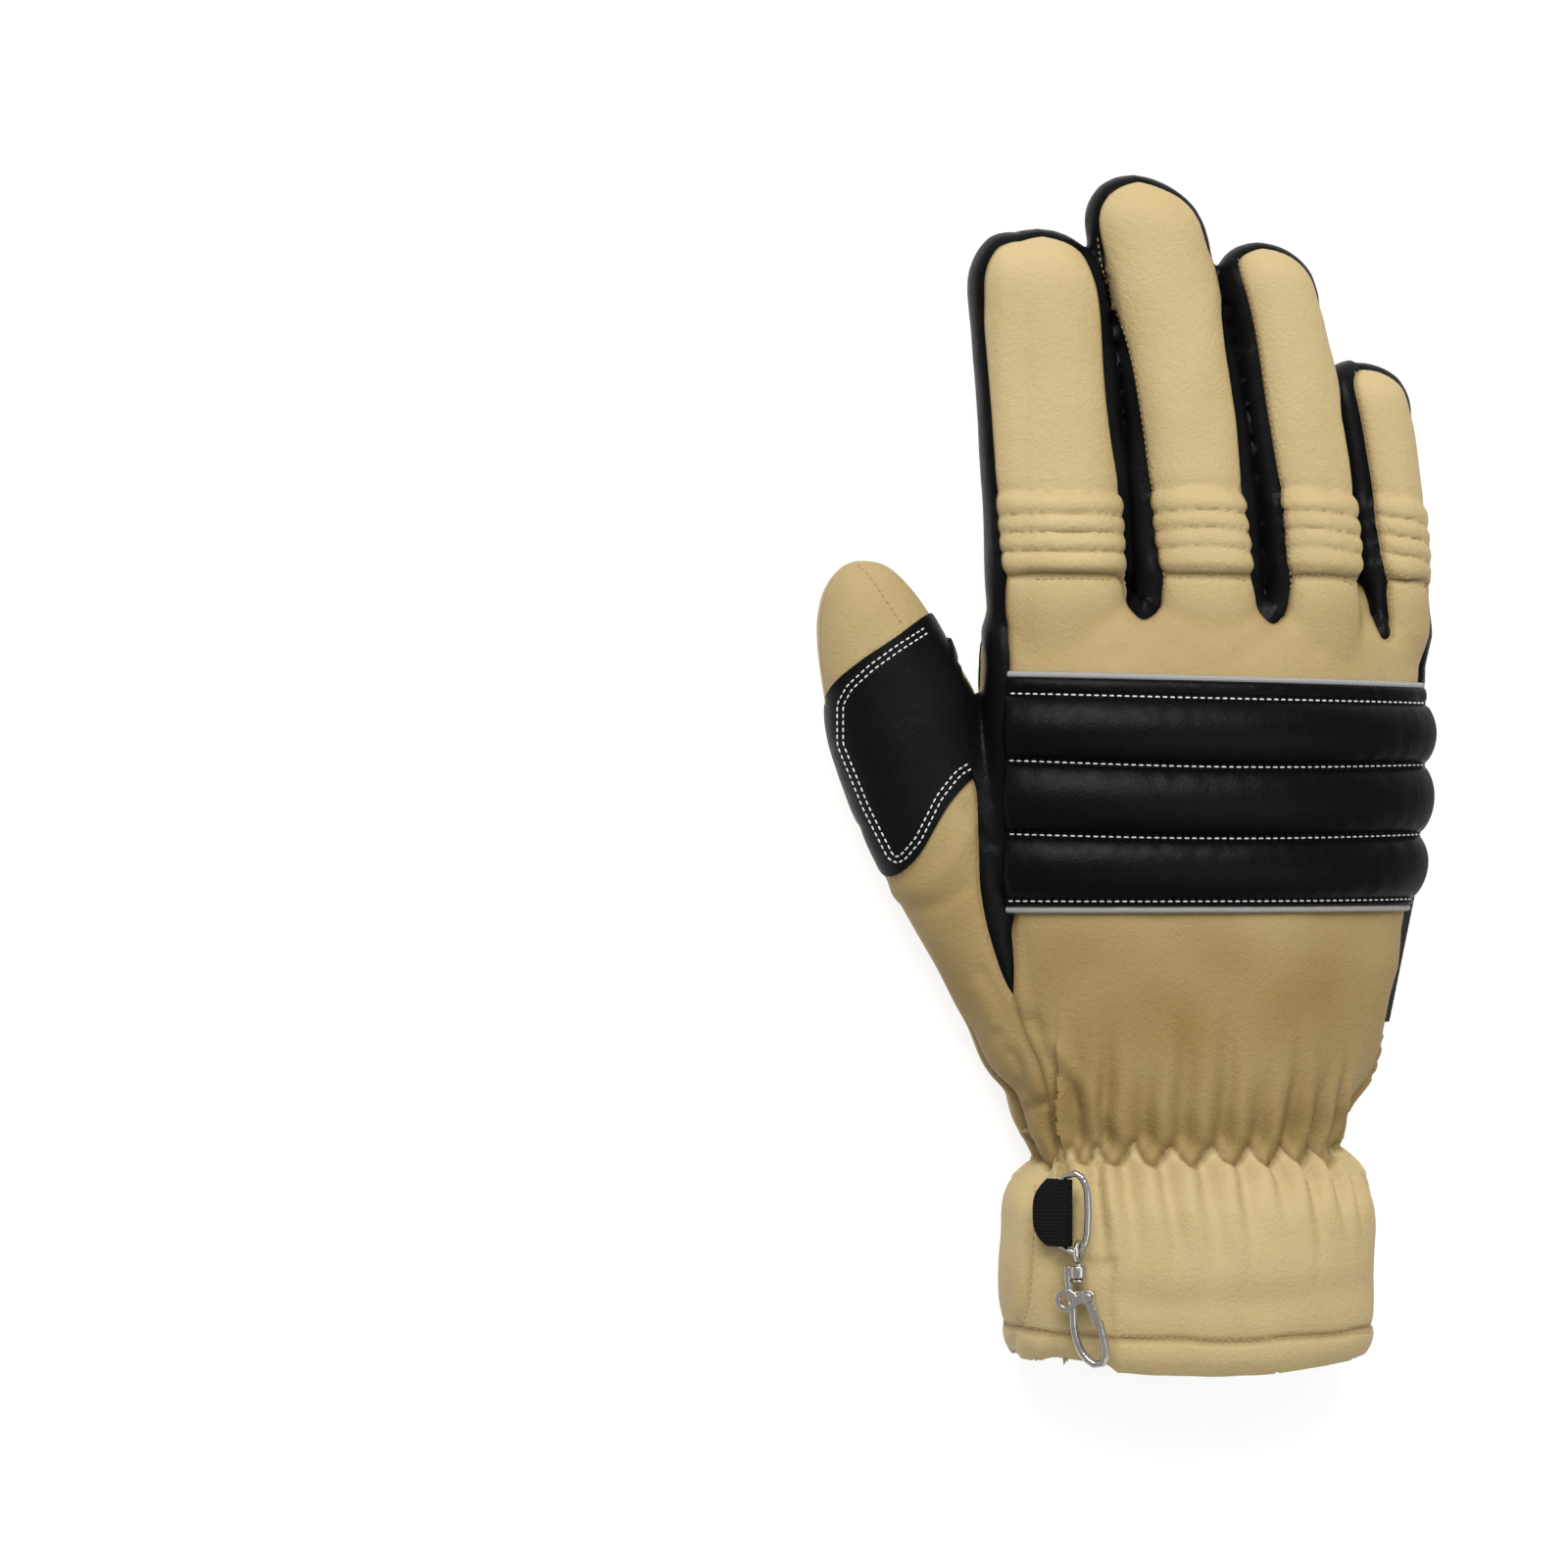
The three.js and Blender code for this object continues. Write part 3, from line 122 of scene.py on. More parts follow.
# The thumb along its own axis
THUMB_ROOT = (-0.325 * PALM_WIDTH, 0.036 * PALM_LENGTH)
THUMB_LEAN = math.radians(20)
THUMB_COLUMNS = ("along", "width", "thick", "shift", "height")
THUMB_ROWS = (
    (0, 0.4, 0.8, 0, 0.56),
    (0.18, 0.7, 1.05, 0.04, 0.56),
    (0.38, 0.83, 1.1, 0, 0.55),
    (0.56, 1.0, 1.1, -0.03, 0.54),
    (0.71, 0.98, 1.02, -0.045, 0.52),
    (0.81, 0.85, 0.98, -0.042, 0.5),
    (0.9, 0.7, 0.9, -0.035, 0.5),
    (0.955, 0.52, 0.72, -0.028, 0.5),
    (0.985, 0.32, 0.46, -0.02, 0.5),
    (1.0, 0.1, 0.16, -0.02, 0.5),
)

# How fine the skin is
SKIN_VOXEL = 1.0
HALF_GAP = 1.1
LEATHER = 1.8


def table_of(columns, rows):
    return {name: [row[i] for row in rows] for i, name in enumerate(columns)}


HAND = table_of(HAND_COLUMNS, HAND_ROWS)
THUMB = table_of(THUMB_COLUMNS, THUMB_ROWS)
FINGERS = [dict(zip(FINGER_COLUMNS, row)) for row in FINGER_ROWS]


def limited_slope(a, b):
    """The slope between two rises, which never overshoots."""
    return 0.0 if a * b <= 0 else 2 * a * b / (a + b)


def column(table, key, place):
    """The smooth value of one column at a place along the table."""
    along, values = table["along"], table[key]
    last = len(along) - 1
    if place <= along[0]:
        return values[0]
    if place >= along[last]:
        return values[last]
    i = next(k for k in range(last) if along[k + 1] >= place)
    span = along[i + 1] - along[i]
    rise = (values[i + 1] - values[i]) / span
    slope_in = slope_out = rise
    if i > 0:
        slope_in = limited_slope(rise, (values[i] - values[i - 1]) / (along[i] - along[i - 1]))
    if i + 1 < last:
        slope_out = limited_slope(rise, (values[i + 2] - values[i + 1]) / (along[i + 2] - along[i + 1]))
    t = (place - along[i]) / span
    h = t * t * (3 - 2 * t)
    lean = span * (slope_in * t * (1 - t) ** 2 - slope_out * t * t * (1 - t))
    return values[i] * (1 - h) + values[i + 1] * h + lean


def signed_power(value, power):
    return np.sign(value) * np.abs(value) ** power


def hand_ring(y, angle, grow=0.0):
    """Points of the hand's or cuff's section at a place along it, at these angles round it."""
    along = y / CUFF_LENGTH if y < 0 else y / PALM_LENGTH
    at = {key: column(HAND, key, along) for key in HAND_COLUMNS[1:]}
    width = at["palm"] * PALM_WIDTH + at["wrist"] * WRIST_WIDTH + at["cuff"] * CUFF_WIDTH
    tall = at["palm"] * PALM_THICKNESS + at["wrist"] * WRIST_THICKNESS + at["cuff"] * CUFF_THICKNESS
    tall *= at["crown"]
    c, s = np.cos(angle), np.sin(angle)
    power = np.where(s >= 0, 2.5, 3.4)
    across = signed_power(c, 2 / power)
    x = at["centre"] * PALM_WIDTH + (width / 2 + grow) * across
    share = (across + 1) / 2
    side = tall * (at["radial"] * (1 - share) + at["ulnar"] * share)
    crest = tall * (1 - at["drop"] * np.maximum(across, 0) ** 2)
    floor = tall * (at["lift"] + at["rise"] * (1 - share))
    up = np.abs(s) ** (2 / power)
    z = np.where(s >= 0, side + (crest + grow - side) * up, side - (side - floor + grow) * up)
    bow = HEM_CURVE * along * along * across * across if y < 0 else 0 * across
    return np.column_stack([x, y + bow, z])


def finger_ring(row, y, angle):
    length = row["length"] * MIDDLE_LENGTH
    share = (y - KNUCKLE) / length
    bend = min(share, 1) ** 2
    x = (row["side"] + row["lean"] * bend) * PALM_WIDTH
    z = (row["height"] - row["dip"] * bend) * PALM_THICKNESS
    width = row["width"] * FINGER_WIDTH
    thick = row["thick"] * FINGER_THICKNESS
    left = KNUCKLE + length - y
    radius = width * TIP_ROUND
    tip = 1.0 if left >= radius else math.sqrt(max(1 - (1 - max(left, 0) / radius) ** 2, 0))
    swell = 0.9 + 0.1 * min(share / 0.25, 1)
    c, s = np.cos(angle), np.sin(angle)
    a, b = signed_power(c, 0.94), signed_power(s, 0.94)
    turn = (y - RIB_SEAM) / RIB_PITCH
    rib = 0.0
    if 0 < turn < RIB_COUNT:
        rib = RIB_HEIGHT * abs(math.sin(turn * math.pi)) ** 0.7
    ribs = np.where(s > 0, rib * np.minimum(1, s * 1.6), 0)
    return np.column_stack([
        x + a * width / 2 * swell * tip,
        np.full_like(c, y),
        z + b * (thick / 2 * swell * tip + ribs),
    ])


def along_finger(row, y):
    """How far along a finger a place is: 0 at the knuckle and 1 at the tip."""
    return np.clip((y - KNUCKLE) / (row["length"] * MIDDLE_LENGTH), 0, 1)


def finger_middle(row, y):
    """Where the middle of a finger lies across the glove, at a place along it."""
    return (row["side"] + row["lean"] * along_finger(row, y) ** 2) * PALM_WIDTH


def between_fingers(row, following, y):
    """Where the middle of the gap between two fingers lies across the glove."""
    own, other = row["width"], following["width"]
    return (finger_middle(row, y) * other + finger_middle(following, y) * own) / (own + other)


def kept_apart(number, y, ring):
    """A finger's section, flattened where it would touch the next finger."""
    for other, side in ((number - 1, 1), (number + 1, -1)):
        if not 0 <= other < len(FINGERS):
            continue
        first, second = sorted((number, other))
        shorter = min(FINGERS[first]["length"], FINGERS[second]["length"])
        past_tip = max(0, y - (KNUCKLE + shorter * MIDDLE_LENGTH - 12))
        wall = between_fingers(FINGERS[first], FINGERS[second], y) + side * (HALF_GAP - 1.5 * past_tip)
        ring[:, 0] = np.maximum(ring[:, 0], wall) if side > 0 else np.minimum(ring[:, 0], wall)
    return ring


def thumb_ring(along, angle):
    at = {key: column(THUMB, key, along) for key in THUMB_COLUMNS[1:]}
    across = at["shift"] * THUMB_WIDTH + signed_power(np.cos(angle), 0.92) * at["width"] * THUMB_WIDTH / 2
    up = signed_power(np.sin(angle), 0.92) * at["thick"] * THUMB_THICKNESS / 2
    down = along * THUMB_LENGTH
    return np.column_stack([
        THUMB_ROOT[0] + across * math.cos(THUMB_LEAN) - down * math.sin(THUMB_LEAN),
        THUMB_ROOT[1] + across * math.sin(THUMB_LEAN) + down * math.cos(THUMB_LEAN),
        at["height"] * THUMB_THICKNESS + up,
    ])


def round_turn(sides):
    return np.linspace(0, 2 * math.pi, sides, endpoint=False)


def in_row_frame(points):
    """Points in millimetres from the wrist gather, moved to the row frame in metres."""
    return np.asarray(points, float) * MM + np.array([WRIST_X, WRIST_Y, 0.0])


def object_of(name, points, faces):
    mesh = bpy.data.meshes.new(name)
    mesh.from_pydata([tuple(p) for p in points], [], [tuple(int(i) for i in f) for f in faces])
    mesh.update()
    obj = bpy.data.objects.new(name, mesh)
    bpy.context.scene.collection.objects.link(obj)
    return obj


def turned_outwards(obj):
    shape = bmesh.new()
    shape.from_mesh(obj.data)
    bmesh.ops.recalc_face_normals(shape, faces=shape.faces)
    shape.to_mesh(obj.data)
    shape.free()
    return obj


def lofted(name, rings):
    """A closed body through rings of points, in the row frame."""
    sides = len(rings[0])
    points = in_row_frame(np.vstack(rings))
    faces = []
    for r in range(len(rings) - 1):
        for k in range(sides):
            n = (k + 1) % sides
            faces.append((r * sides + k, r * sides + n, (r + 1) * sides + n, (r + 1) * sides + k))
    faces.append(tuple(reversed(range(sides))))
    faces.append(tuple(range((len(rings) - 1) * sides, len(rings) * sides)))
    return turned_outwards(object_of(name, points, faces))


def only(*objects):
    bpy.ops.object.select_all(action="DESELECT")
    for obj in objects:
        obj.select_set(True)
    bpy.context.view_layer.objects.active = objects[0]


def whole_skin():
    """Hand, fingers and thumb joined into one even skin."""
    turn = round_turn(120)
    places = np.concatenate([np.arange(-CUFF_LENGTH, PALM_LENGTH, 1.5), [PALM_LENGTH]])
    rings = [hand_ring(y, turn) for y in places]
    last = rings[-1]
    middle = last.mean(axis=0)
    rings.append(middle + (last - middle) * [0.9, 1, 0.7] + [0, WEB_ROUND, 0])
    bodies = [lofted("skin", rings)]
    for number, row in enumerate(FINGERS):
        end = KNUCKLE + row["length"] * MIDDLE_LENGTH
        radius = row["width"] * FINGER_WIDTH * TIP_ROUND
        straight = np.arange(KNUCKLE + 6, end - radius, 0.6)
        tip = end - radius * (1 - np.sin(np.linspace(0, 0.485 * math.pi, 22)))
        rings = [kept_apart(number, y, finger_ring(row, y, round_turn(72))) for y in [*straight, *tip]]
        bodies.append(lofted("finger", rings))
    along = [*np.linspace(0, 0.94, 90), *np.linspace(0.945, 1.0, 24)]
    bodies.append(lofted("thumb", [thumb_ring(a, round_turn(72)) for a in along]))
    only(*bodies)
    bpy.ops.object.join()
    skin = bpy.context.view_layer.objects.active
    skin.data.remesh_voxel_size = SKIN_VOXEL * MM
    bpy.ops.object.voxel_remesh()
    return skin


def arrays_of(obj):
    """Vertices, triangulated or four-sided faces, and edges of a mesh as arrays."""
    mesh = obj.data
    points = np.empty(len(mesh.vertices) * 3)
    mesh.vertices.foreach_get("co", points)
    edges = np.empty(len(mesh.edges) * 2, int)
    mesh.edges.foreach_get("vertices", edges)
    faces = [tuple(p.vertices) for p in mesh.polygons]
    return points.reshape(-1, 3), faces, edges.reshape(-1, 2)


def relaxed(points, edges, rounds, strength=0.5, keep=None):
    """Points moved towards the mean of their neighbours. keep is how much of the move each takes."""
    count = np.zeros(len(points))
    np.add.at(count, edges[:, 0], 1)
    np.add.at(count, edges[:, 1], 1)
    count = np.maximum(count, 1)[:, None]
    weight = strength if keep is None else strength * keep[:, None]
    for _ in range(rounds):
        total = np.zeros_like(points)
        np.add.at(total, edges[:, 0], points[edges[:, 1]])
        np.add.at(total, edges[:, 1], points[edges[:, 0]])
        points = points + weight * (total / count - points)
    return points


def normals_of(points, faces):
    mesh = bpy.data.meshes.new("scratch")
    mesh.from_pydata([tuple(p) for p in points], [], faces)
    mesh.update()
    found = np.empty(len(points) * 3)
    mesh.vertices.foreach_get("normal", found)
    bpy.data.meshes.remove(mesh)
    return found.reshape(-1, 3)


def hand_units(points):
    """Points of the row frame in millimetres from the wrist gather."""
    return (points - np.array([WRIST_X, WRIST_Y, 0.0])) / MM


# The camera of the photograph: level with the picture, leaning towards the thumb's side
CAMERA_AWAY = 1600.0
CAMERA_LEAN = math.radians(10)
PHOTO_SPAN = 400.0
PHOTO_MIDDLE = np.array([-110.2, 93.4, 20.0])
PICTURE_CENTRE = (-108.75, 93.75)
VIEW_AWAY = np.array([-math.sin(CAMERA_LEAN), 0, math.cos(CAMERA_LEAN)])
VIEW_RIGHT = np.array([math.cos(CAMERA_LEAN), 0, math.sin(CAMERA_LEAN)])


def in_picture(points):
    """Where points in millimetres from the wrist gather appear in the photograph, in the same units."""
    from_middle = np.asarray(points, float) - PHOTO_MIDDLE
    nearer = CAMERA_AWAY / (CAMERA_AWAY - from_middle @ VIEW_AWAY)
    return np.column_stack([
        PICTURE_CENTRE[0] + from_middle @ VIEW_RIGHT * nearer,
        PICTURE_CENTRE[1] + from_middle[:, 1] * nearer,
    ])


def inside(points, outline):
    """Which of these points of the picture lie inside a closed outline."""
    result = np.zeros(len(points), bool)
    x, y = points[:, 0], points[:, 1]
    for (x0, y0), (x1, y1) in zip(outline, outline[1:] + outline[:1]):
        if y0 == y1:
            continue
        crosses = (y0 > y) != (y1 > y)
        result ^= crosses & (x < (x1 - x0) * (y - y0) / (y1 - y0) + x0)
    return result


# Black side walls as the back view shows them, measured on the photograph
WALL_LINES = {
    "gusset_index_outer": (
        (-66, 221.5), (-57.6, 221.5), (-56.8, 208.9), (-55.4, 193.1), (-54.3, 179.5), (-53.3, 166.8),
        (-52.6, 156.3), (-52.0, 146.8), (-51.8, 138.9), (-51.4, 127.5), (-51.3, 101.3), (-51.3, 80.1),
        (-51.1, 64.3), (-50.2, 50), (-49.2, 36), (-54.1, 47.5), (-57.5, 59), (-59, 71.8), (-59.2, 85.4),
        (-58.8, 94.8), (-62, 99), (-64, 115), (-66, 140),
    ),
    "gusset_index_middle": (
        (-33.8, 232.6), (-31.2, 227.8), (-29, 222.6), (-27.8, 217.3), (-27.2, 211), (-26.9, 203.6),
        (-26.4, 193.1), (-24.8, 182.6), (-23.3, 172.1), (-22.5, 164.7), (-21.9, 155.2), (-21.7, 146.8),
        (-20.6, 139.1), (-17.5, 134.6), (-13.9, 137), (-12.4, 143.2), (-12.8, 148), (-14.3, 156.3),
        (-15.4, 166.8), (-17, 178.4), (-18.5, 188.9), (-20.1, 199.4), (-22.7, 208.9), (-25.4, 215.2),
        (-27.5, 221.5), (-28.8, 226.8), (-29.6, 233.6),
    ),
    "gusset_middle_ring": (
        (2, 224.2), (3, 216.3), (4.6, 203.6), (6.2, 193.1), (7.6, 182.6), (8.6, 172.1), (9, 164.7),
        (10.4, 157.3), (11.2, 151), (11.8, 144.3), (12.8, 138), (16, 134.4), (19.2, 137), (19.9, 143.2),
        (19.2, 151), (18.3, 163.7), (16.2, 177.3), (13.6, 193.1), (11.8, 205.7), (9.9, 215.2),
        (7.8, 222.6), (6.7, 226.8),
    ),
    "gusset_ring_pinky": (
        (34.1, 201), (35.7, 193.1), (36.7, 182.6), (37, 172.1), (37.2, 163.7), (38.5, 156.3), (38.9, 148),
        (39.1, 143.2), (40.9, 138), (43, 130.1), (44.8, 128.8), (46, 130.6), (45.1, 140.1), (44.1, 147.4),
        (43.6, 151), (42, 163.7), (40.6, 174.2), (38.8, 184.7), (37.3, 192.1), (36, 199.4),
    ),
}

# The part of the thumb that its patch covers in the back view
PATCH_LINES = (
    (-70, 139), (-74, 136), (-82.3, 129.8), (-89.5, 125), (-95.3, 119.8), (-98, 114.5), (-108, 113),
    (-108, 80), (-88, 73), (-83.8, 71.5), (-80, 70.5), (-77.8, 71.5), (-73.3, 76.5), (-67.8, 87.3),
    (-63.3, 93.5), (-58.5, 96.5), (-50, 97), (-50, 139),
)

# The seam between the thumb's side and the back, from the black wall's point down to the gather
THUMB_SEAM_Y = (2.0, 11.8, 20.8, 29.3, 39.1)
THUMB_SEAM_X = (-42.5, -42.5, -43.3, -47.3, -49.9)

# Folds that the back view shows: a line in the picture, then its width and height in mm
FOLDS = (
    (((-45, 33), (-42, 25), (-37, 17), (-33, 9), (-32, 4)), 2.2, -1.3),
    (((-41, 27), (-36, 21), (-30, 14), (-25, 6)), 2.4, 0.7),
    (((-62, 88), (-59, 82), (-56, 78)), 1.2, -0.6),
    (((-80, 66), (-72, 68), (-66, 74), (-61, 82)), 3.0, 0.8),
    (((-76, 62), (-68, 63), (-62, 68)), 2.0, -0.6),
    (((-58, 46), (-53, 38), (-50, 30), (-49, 22)), 1.8, -0.6),
    (((-54, 30), (-50, 22), (-47, 14), (-45, 8)), 1.5, -0.9),
    (((-60, 42), (-56, 34), (-52, 26)), 1.6, 0.5),
    (((-51, 16), (-47, 13), (-44, 12)), 1.3, -0.7),
    (((-48, 10), (-44, 12)), 1.4, -1.4),
    (((-17.5, 134), (-19, 129), (-24, 126)), 2.6, -0.5),
    (((-17, 134), (-14, 130), (-8, 128)), 2.6, -0.5),
    (((16, 134), (14, 130), (8, 127)), 2.6, -0.5),
    (((17, 134), (21, 130), (26, 128)), 2.6, -0.5),
    (((-30, -36), (-10, -39), (15, -38), (38, -35)), 4.5, -0.8),
    (((-33, -8), (-31, -20), (-32, -32), (-34, -44)), 3.0, -0.6),
    (((-34.3, -46), (-34, -52), (-33.4, -59)), 0.9, -1.0),
    (((-45.5, -6), (-46, -20), (-46.5, -29), (-47.3, -39), (-49.2, -46), (-50, -55)), 1.0, -1.1),
)

# Where the back view's zigzag at the wrist turns: peaks and valleys in turn, from the thumb's side
ZIGZAG_X = (
    -41.5, -37, -32.4, -29.3, -24.7, -18.6, -14.4, -8.6, -4, 2.1, 6.3, 12, 15.5, 20.8, 24.7, 28.9, 31.9,
    35, 37.5,
)
ZIGZAG_LOW = -3.6
ZIGZAG_HIGH = 3.0

# The gather: how far its pleats run each way from the wrist, and heights and depths in mm
PLEATS_TO_HAND = 34
PLEATS_TO_CUFF = 33
PLEAT_HEIGHT = 2.1
BAND_DEPTH = 1.4
WAIST_DEPTH = 2.6

# Heights of the loose creases: broad waves, slack and sharper ridges
BROAD_WAVE = 0.45
SLACK_WAVE = 0.28
RIDGE_WAVE = 0.15


def zigzag_turns(x, upper):
    """How many half turns of the zigzag lie before a place: odd at the peaks, even at the valleys."""
    even = (x + 2 * GATHER_PITCH * 40) / (GATHER_PITCH / 2) + 1
    measured = np.interp(x, ZIGZAG_X, np.arange(len(ZIGZAG_X)))
    known = upper & (x > ZIGZAG_X[0]) & (x < ZIGZAG_X[-1])
    return np.where(known, measured, even)


def zigzag_rise(turns):
    """1 at a peak and 0 at a valley."""
    return 1 - np.abs((turns % 2) - 1)


def soft_noise(points, size, seed):
    """A smooth random height between -1 and 1 at each point. size is the length of its waves, in mm."""
    scale = np.asarray(size, float)
    return np.array([noise.noise(Vector(p / scale) + Vector((seed, seed * 2.7, 0))) for p in points])


def gathered(points, upper):
    """Height of the wrist's pleats and of the band that draws them in."""
    x, y = points[:, 0], points[:, 1]
    wander = 1.8 * soft_noise(points * [0.25, 1, 0], 17, 3) * np.clip(np.abs(y) / 12, 0, 1)
    turns = zigzag_turns(x + wander, upper)
    ridge = np.cos((turns - 1) * math.pi)
    reach = np.where(y > 0, PLEATS_TO_HAND, PLEATS_TO_CUFF) * (1 + 0.6 * soft_noise(points * [1, 0, 0], 8, 9))
    fade = np.clip(1 - np.abs(y) / reach, 0, 1) ** 1.5
    side = np.where(y > 0, -1.0, 1.0)
    sharp = np.where(side * ridge > 0, 1.0, 1.35)
    pleat = PLEAT_HEIGHT * fade * side * ridge * sharp * np.clip(np.abs(y) / 3.0, 0.1, 1)
    band = -BAND_DEPTH * np.exp(-(y / 6.0) ** 2)
    waist = -WAIST_DEPTH * np.where(y > 0, np.exp(-(y / 24.0) ** 2), np.exp(-(y / 9.0) ** 2))
    return pleat + band + waist * upper


def creased(points):
    """Height of the leather's loose creases, in mm."""
    broad = BROAD_WAVE * soft_noise(points, (26, 34, 40), 1)
    slack = SLACK_WAVE * soft_noise(points, (9, 17, 14), 4)
    ridged = 1 - 2 * np.abs(soft_noise(points, (13, 30, 22), 6))
    return broad + slack + RIDGE_WAVE * ridged


def folded(points, upper):
    """Height of the folds that the back view shows, in mm."""
    picture = in_picture(points)
    height = np.zeros(len(points))
    for line, width, tall in FOLDS:
        drawn = np.array(smooth_line(line))
        near = upper & (picture[:, 1] > drawn[:, 1].min() - 12) & (picture[:, 1] < drawn[:, 1].max() + 12)
        away = np.linalg.norm(picture[near][:, None, :] - drawn[None, ::2, :], axis=2).min(axis=1)
        height[near] += tall * np.exp(-(away / width) ** 2)
    return height


def evenly(points, step=0.5):
    """A line through these points of the picture with a point every step, in mm."""
    points = np.asarray(points, float)
    run = np.concatenate([[0], np.cumsum(np.linalg.norm(np.diff(points, axis=0), axis=1))])
    at = np.arange(0, run[-1], step)
    return np.column_stack([np.interp(at, run, points[:, k]) for k in range(points.shape[1])])


def smooth_line(points, rounds=6):
    """The same line with its corners rounded."""
    line = evenly(points)
    for _ in range(rounds):
        line[1:-1] = 0.5 * line[1:-1] + 0.25 * (line[:-2] + line[2:])
    return line


# Ribs across the bases of the fingers: where their creases lie, and how each finger's row is bowed
RIB_CREASES = (147.0, 152.5, 157.2, 161.8, 167.2)
RIB_BOW = {"index": (0.2, 0.0), "middle": (1.6, -0.4), "ring": (1.6, -0.9), "pinky": (0.8, -2.6)}


def rib_height(points, names):
    """Height of the ribs at points of the finger backs, in mm."""
    height = np.zeros(len(points))
    for row in FINGERS:
        own = np.array([name == f"finger_back_{row['name']}" for name in names])
        if not own.any():
            continue
        p = points[own]
        across = (p[:, 0] - finger_middle(row, p[:, 1])) / (row["width"] * FINGER_WIDTH / 2)
        bow, tilt = RIB_BOW[row["name"]]
        y = p[:, 1] - bow * (1 - across ** 2) - tilt * across
        place = np.interp(y, RIB_CREASES, np.arange(len(RIB_CREASES)))
        within = (y > RIB_CREASES[0]) & (y < RIB_CREASES[-1])
        ridge = 1.2 * np.abs(np.sin((place % 1) * math.pi)) ** 0.42 - 0.5
        after = -0.5 * np.exp(-((y - RIB_CREASES[-1]) / 2.2) ** 2)
        edge = np.clip((1.02 - np.abs(across)) / 0.16, 0.15, 1)
        height[own] = np.where(within, ridge, after) * edge
    return height


SHELL = (
    "finger_back_index", "finger_back_middle", "finger_back_ring", "finger_back_pinky", "back_panel",
    "back_lower", "palm_panel", "gusset_index_outer", "gusset_index_middle", "gusset_middle_ring",
    "gusset_ring_pinky", "gusset_pinky_outer", "thumb_back", "thumb_front", "cuff_back", "cuff_palm",
    "cuff_hem", "palm_patch", "thumb_patch",
)
NUMBER = {name: number for number, name in enumerate(SHELL)}
MOUTH = len(SHELL)
PATCHES = ("palm_patch", "thumb_patch")
BLACK = [name for name in SHELL if name.startswith("gusset") or name in PATCHES]


def node_tree(names):
    """A search tree over these nodes' triangles, and which node each triangle belongs to."""
    corners, triangles, owner = [], [], []
    for number, name in enumerate(names):
        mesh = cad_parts[name].data
        first = len(corners)
        corners.extend(v.co.copy() for v in mesh.vertices)
        for p in mesh.polygons:
            triangles.append([first + i for i in p.vertices])
            owner.append(number)
    return BVHTree.FromPolygons(corners, triangles), owner


def under_patch(name, middles, normals):
    """Which faces lie under a raised patch."""
    tree, _ = node_tree([name])
    found = np.zeros(len(middles), bool)
    for i, (p, n) in enumerate(zip(middles, normals)):
        near = tree.find_nearest(Vector(p), 4 * MM)[0]
        if near is None:
            continue
        step = np.array(near) - p
        off = step @ n
        found[i] = np.linalg.norm(step - off * n) < 0.35 * MM
    return found


def round_fingers(flat):
    """The finger nearest to each point, with the point's place round it and what the camera sees of it."""
    across, over, before_tip, facing = [], [], [], []
    for row in FINGERS:
        length = row["length"] * MIDDLE_LENGTH
        wide = row["width"] * FINGER_WIDTH / 2
        thick = row["thick"] * FINGER_THICKNESS / 2
        z = (row["height"] - row["dip"] * along_finger(row, flat[:, 1]) ** 2) * PALM_THICKNESS
        across.append((flat[:, 0] - finger_middle(row, flat[:, 1])) / wide)
        over.append((flat[:, 2] - z) / thick)
        before_tip.append(flat[:, 1] < KNUCKLE + length - 1.3 * wide)
        facing.append(over[-1] / thick * VIEW_AWAY[2] + across[-1] / wide * VIEW_AWAY[0] > 0)
    nearest = np.abs(across).argmin(axis=0)
    pick = (nearest, np.arange(len(flat)))
    return (nearest, *(np.array(value)[pick] for value in (across, over, before_tip, facing)))


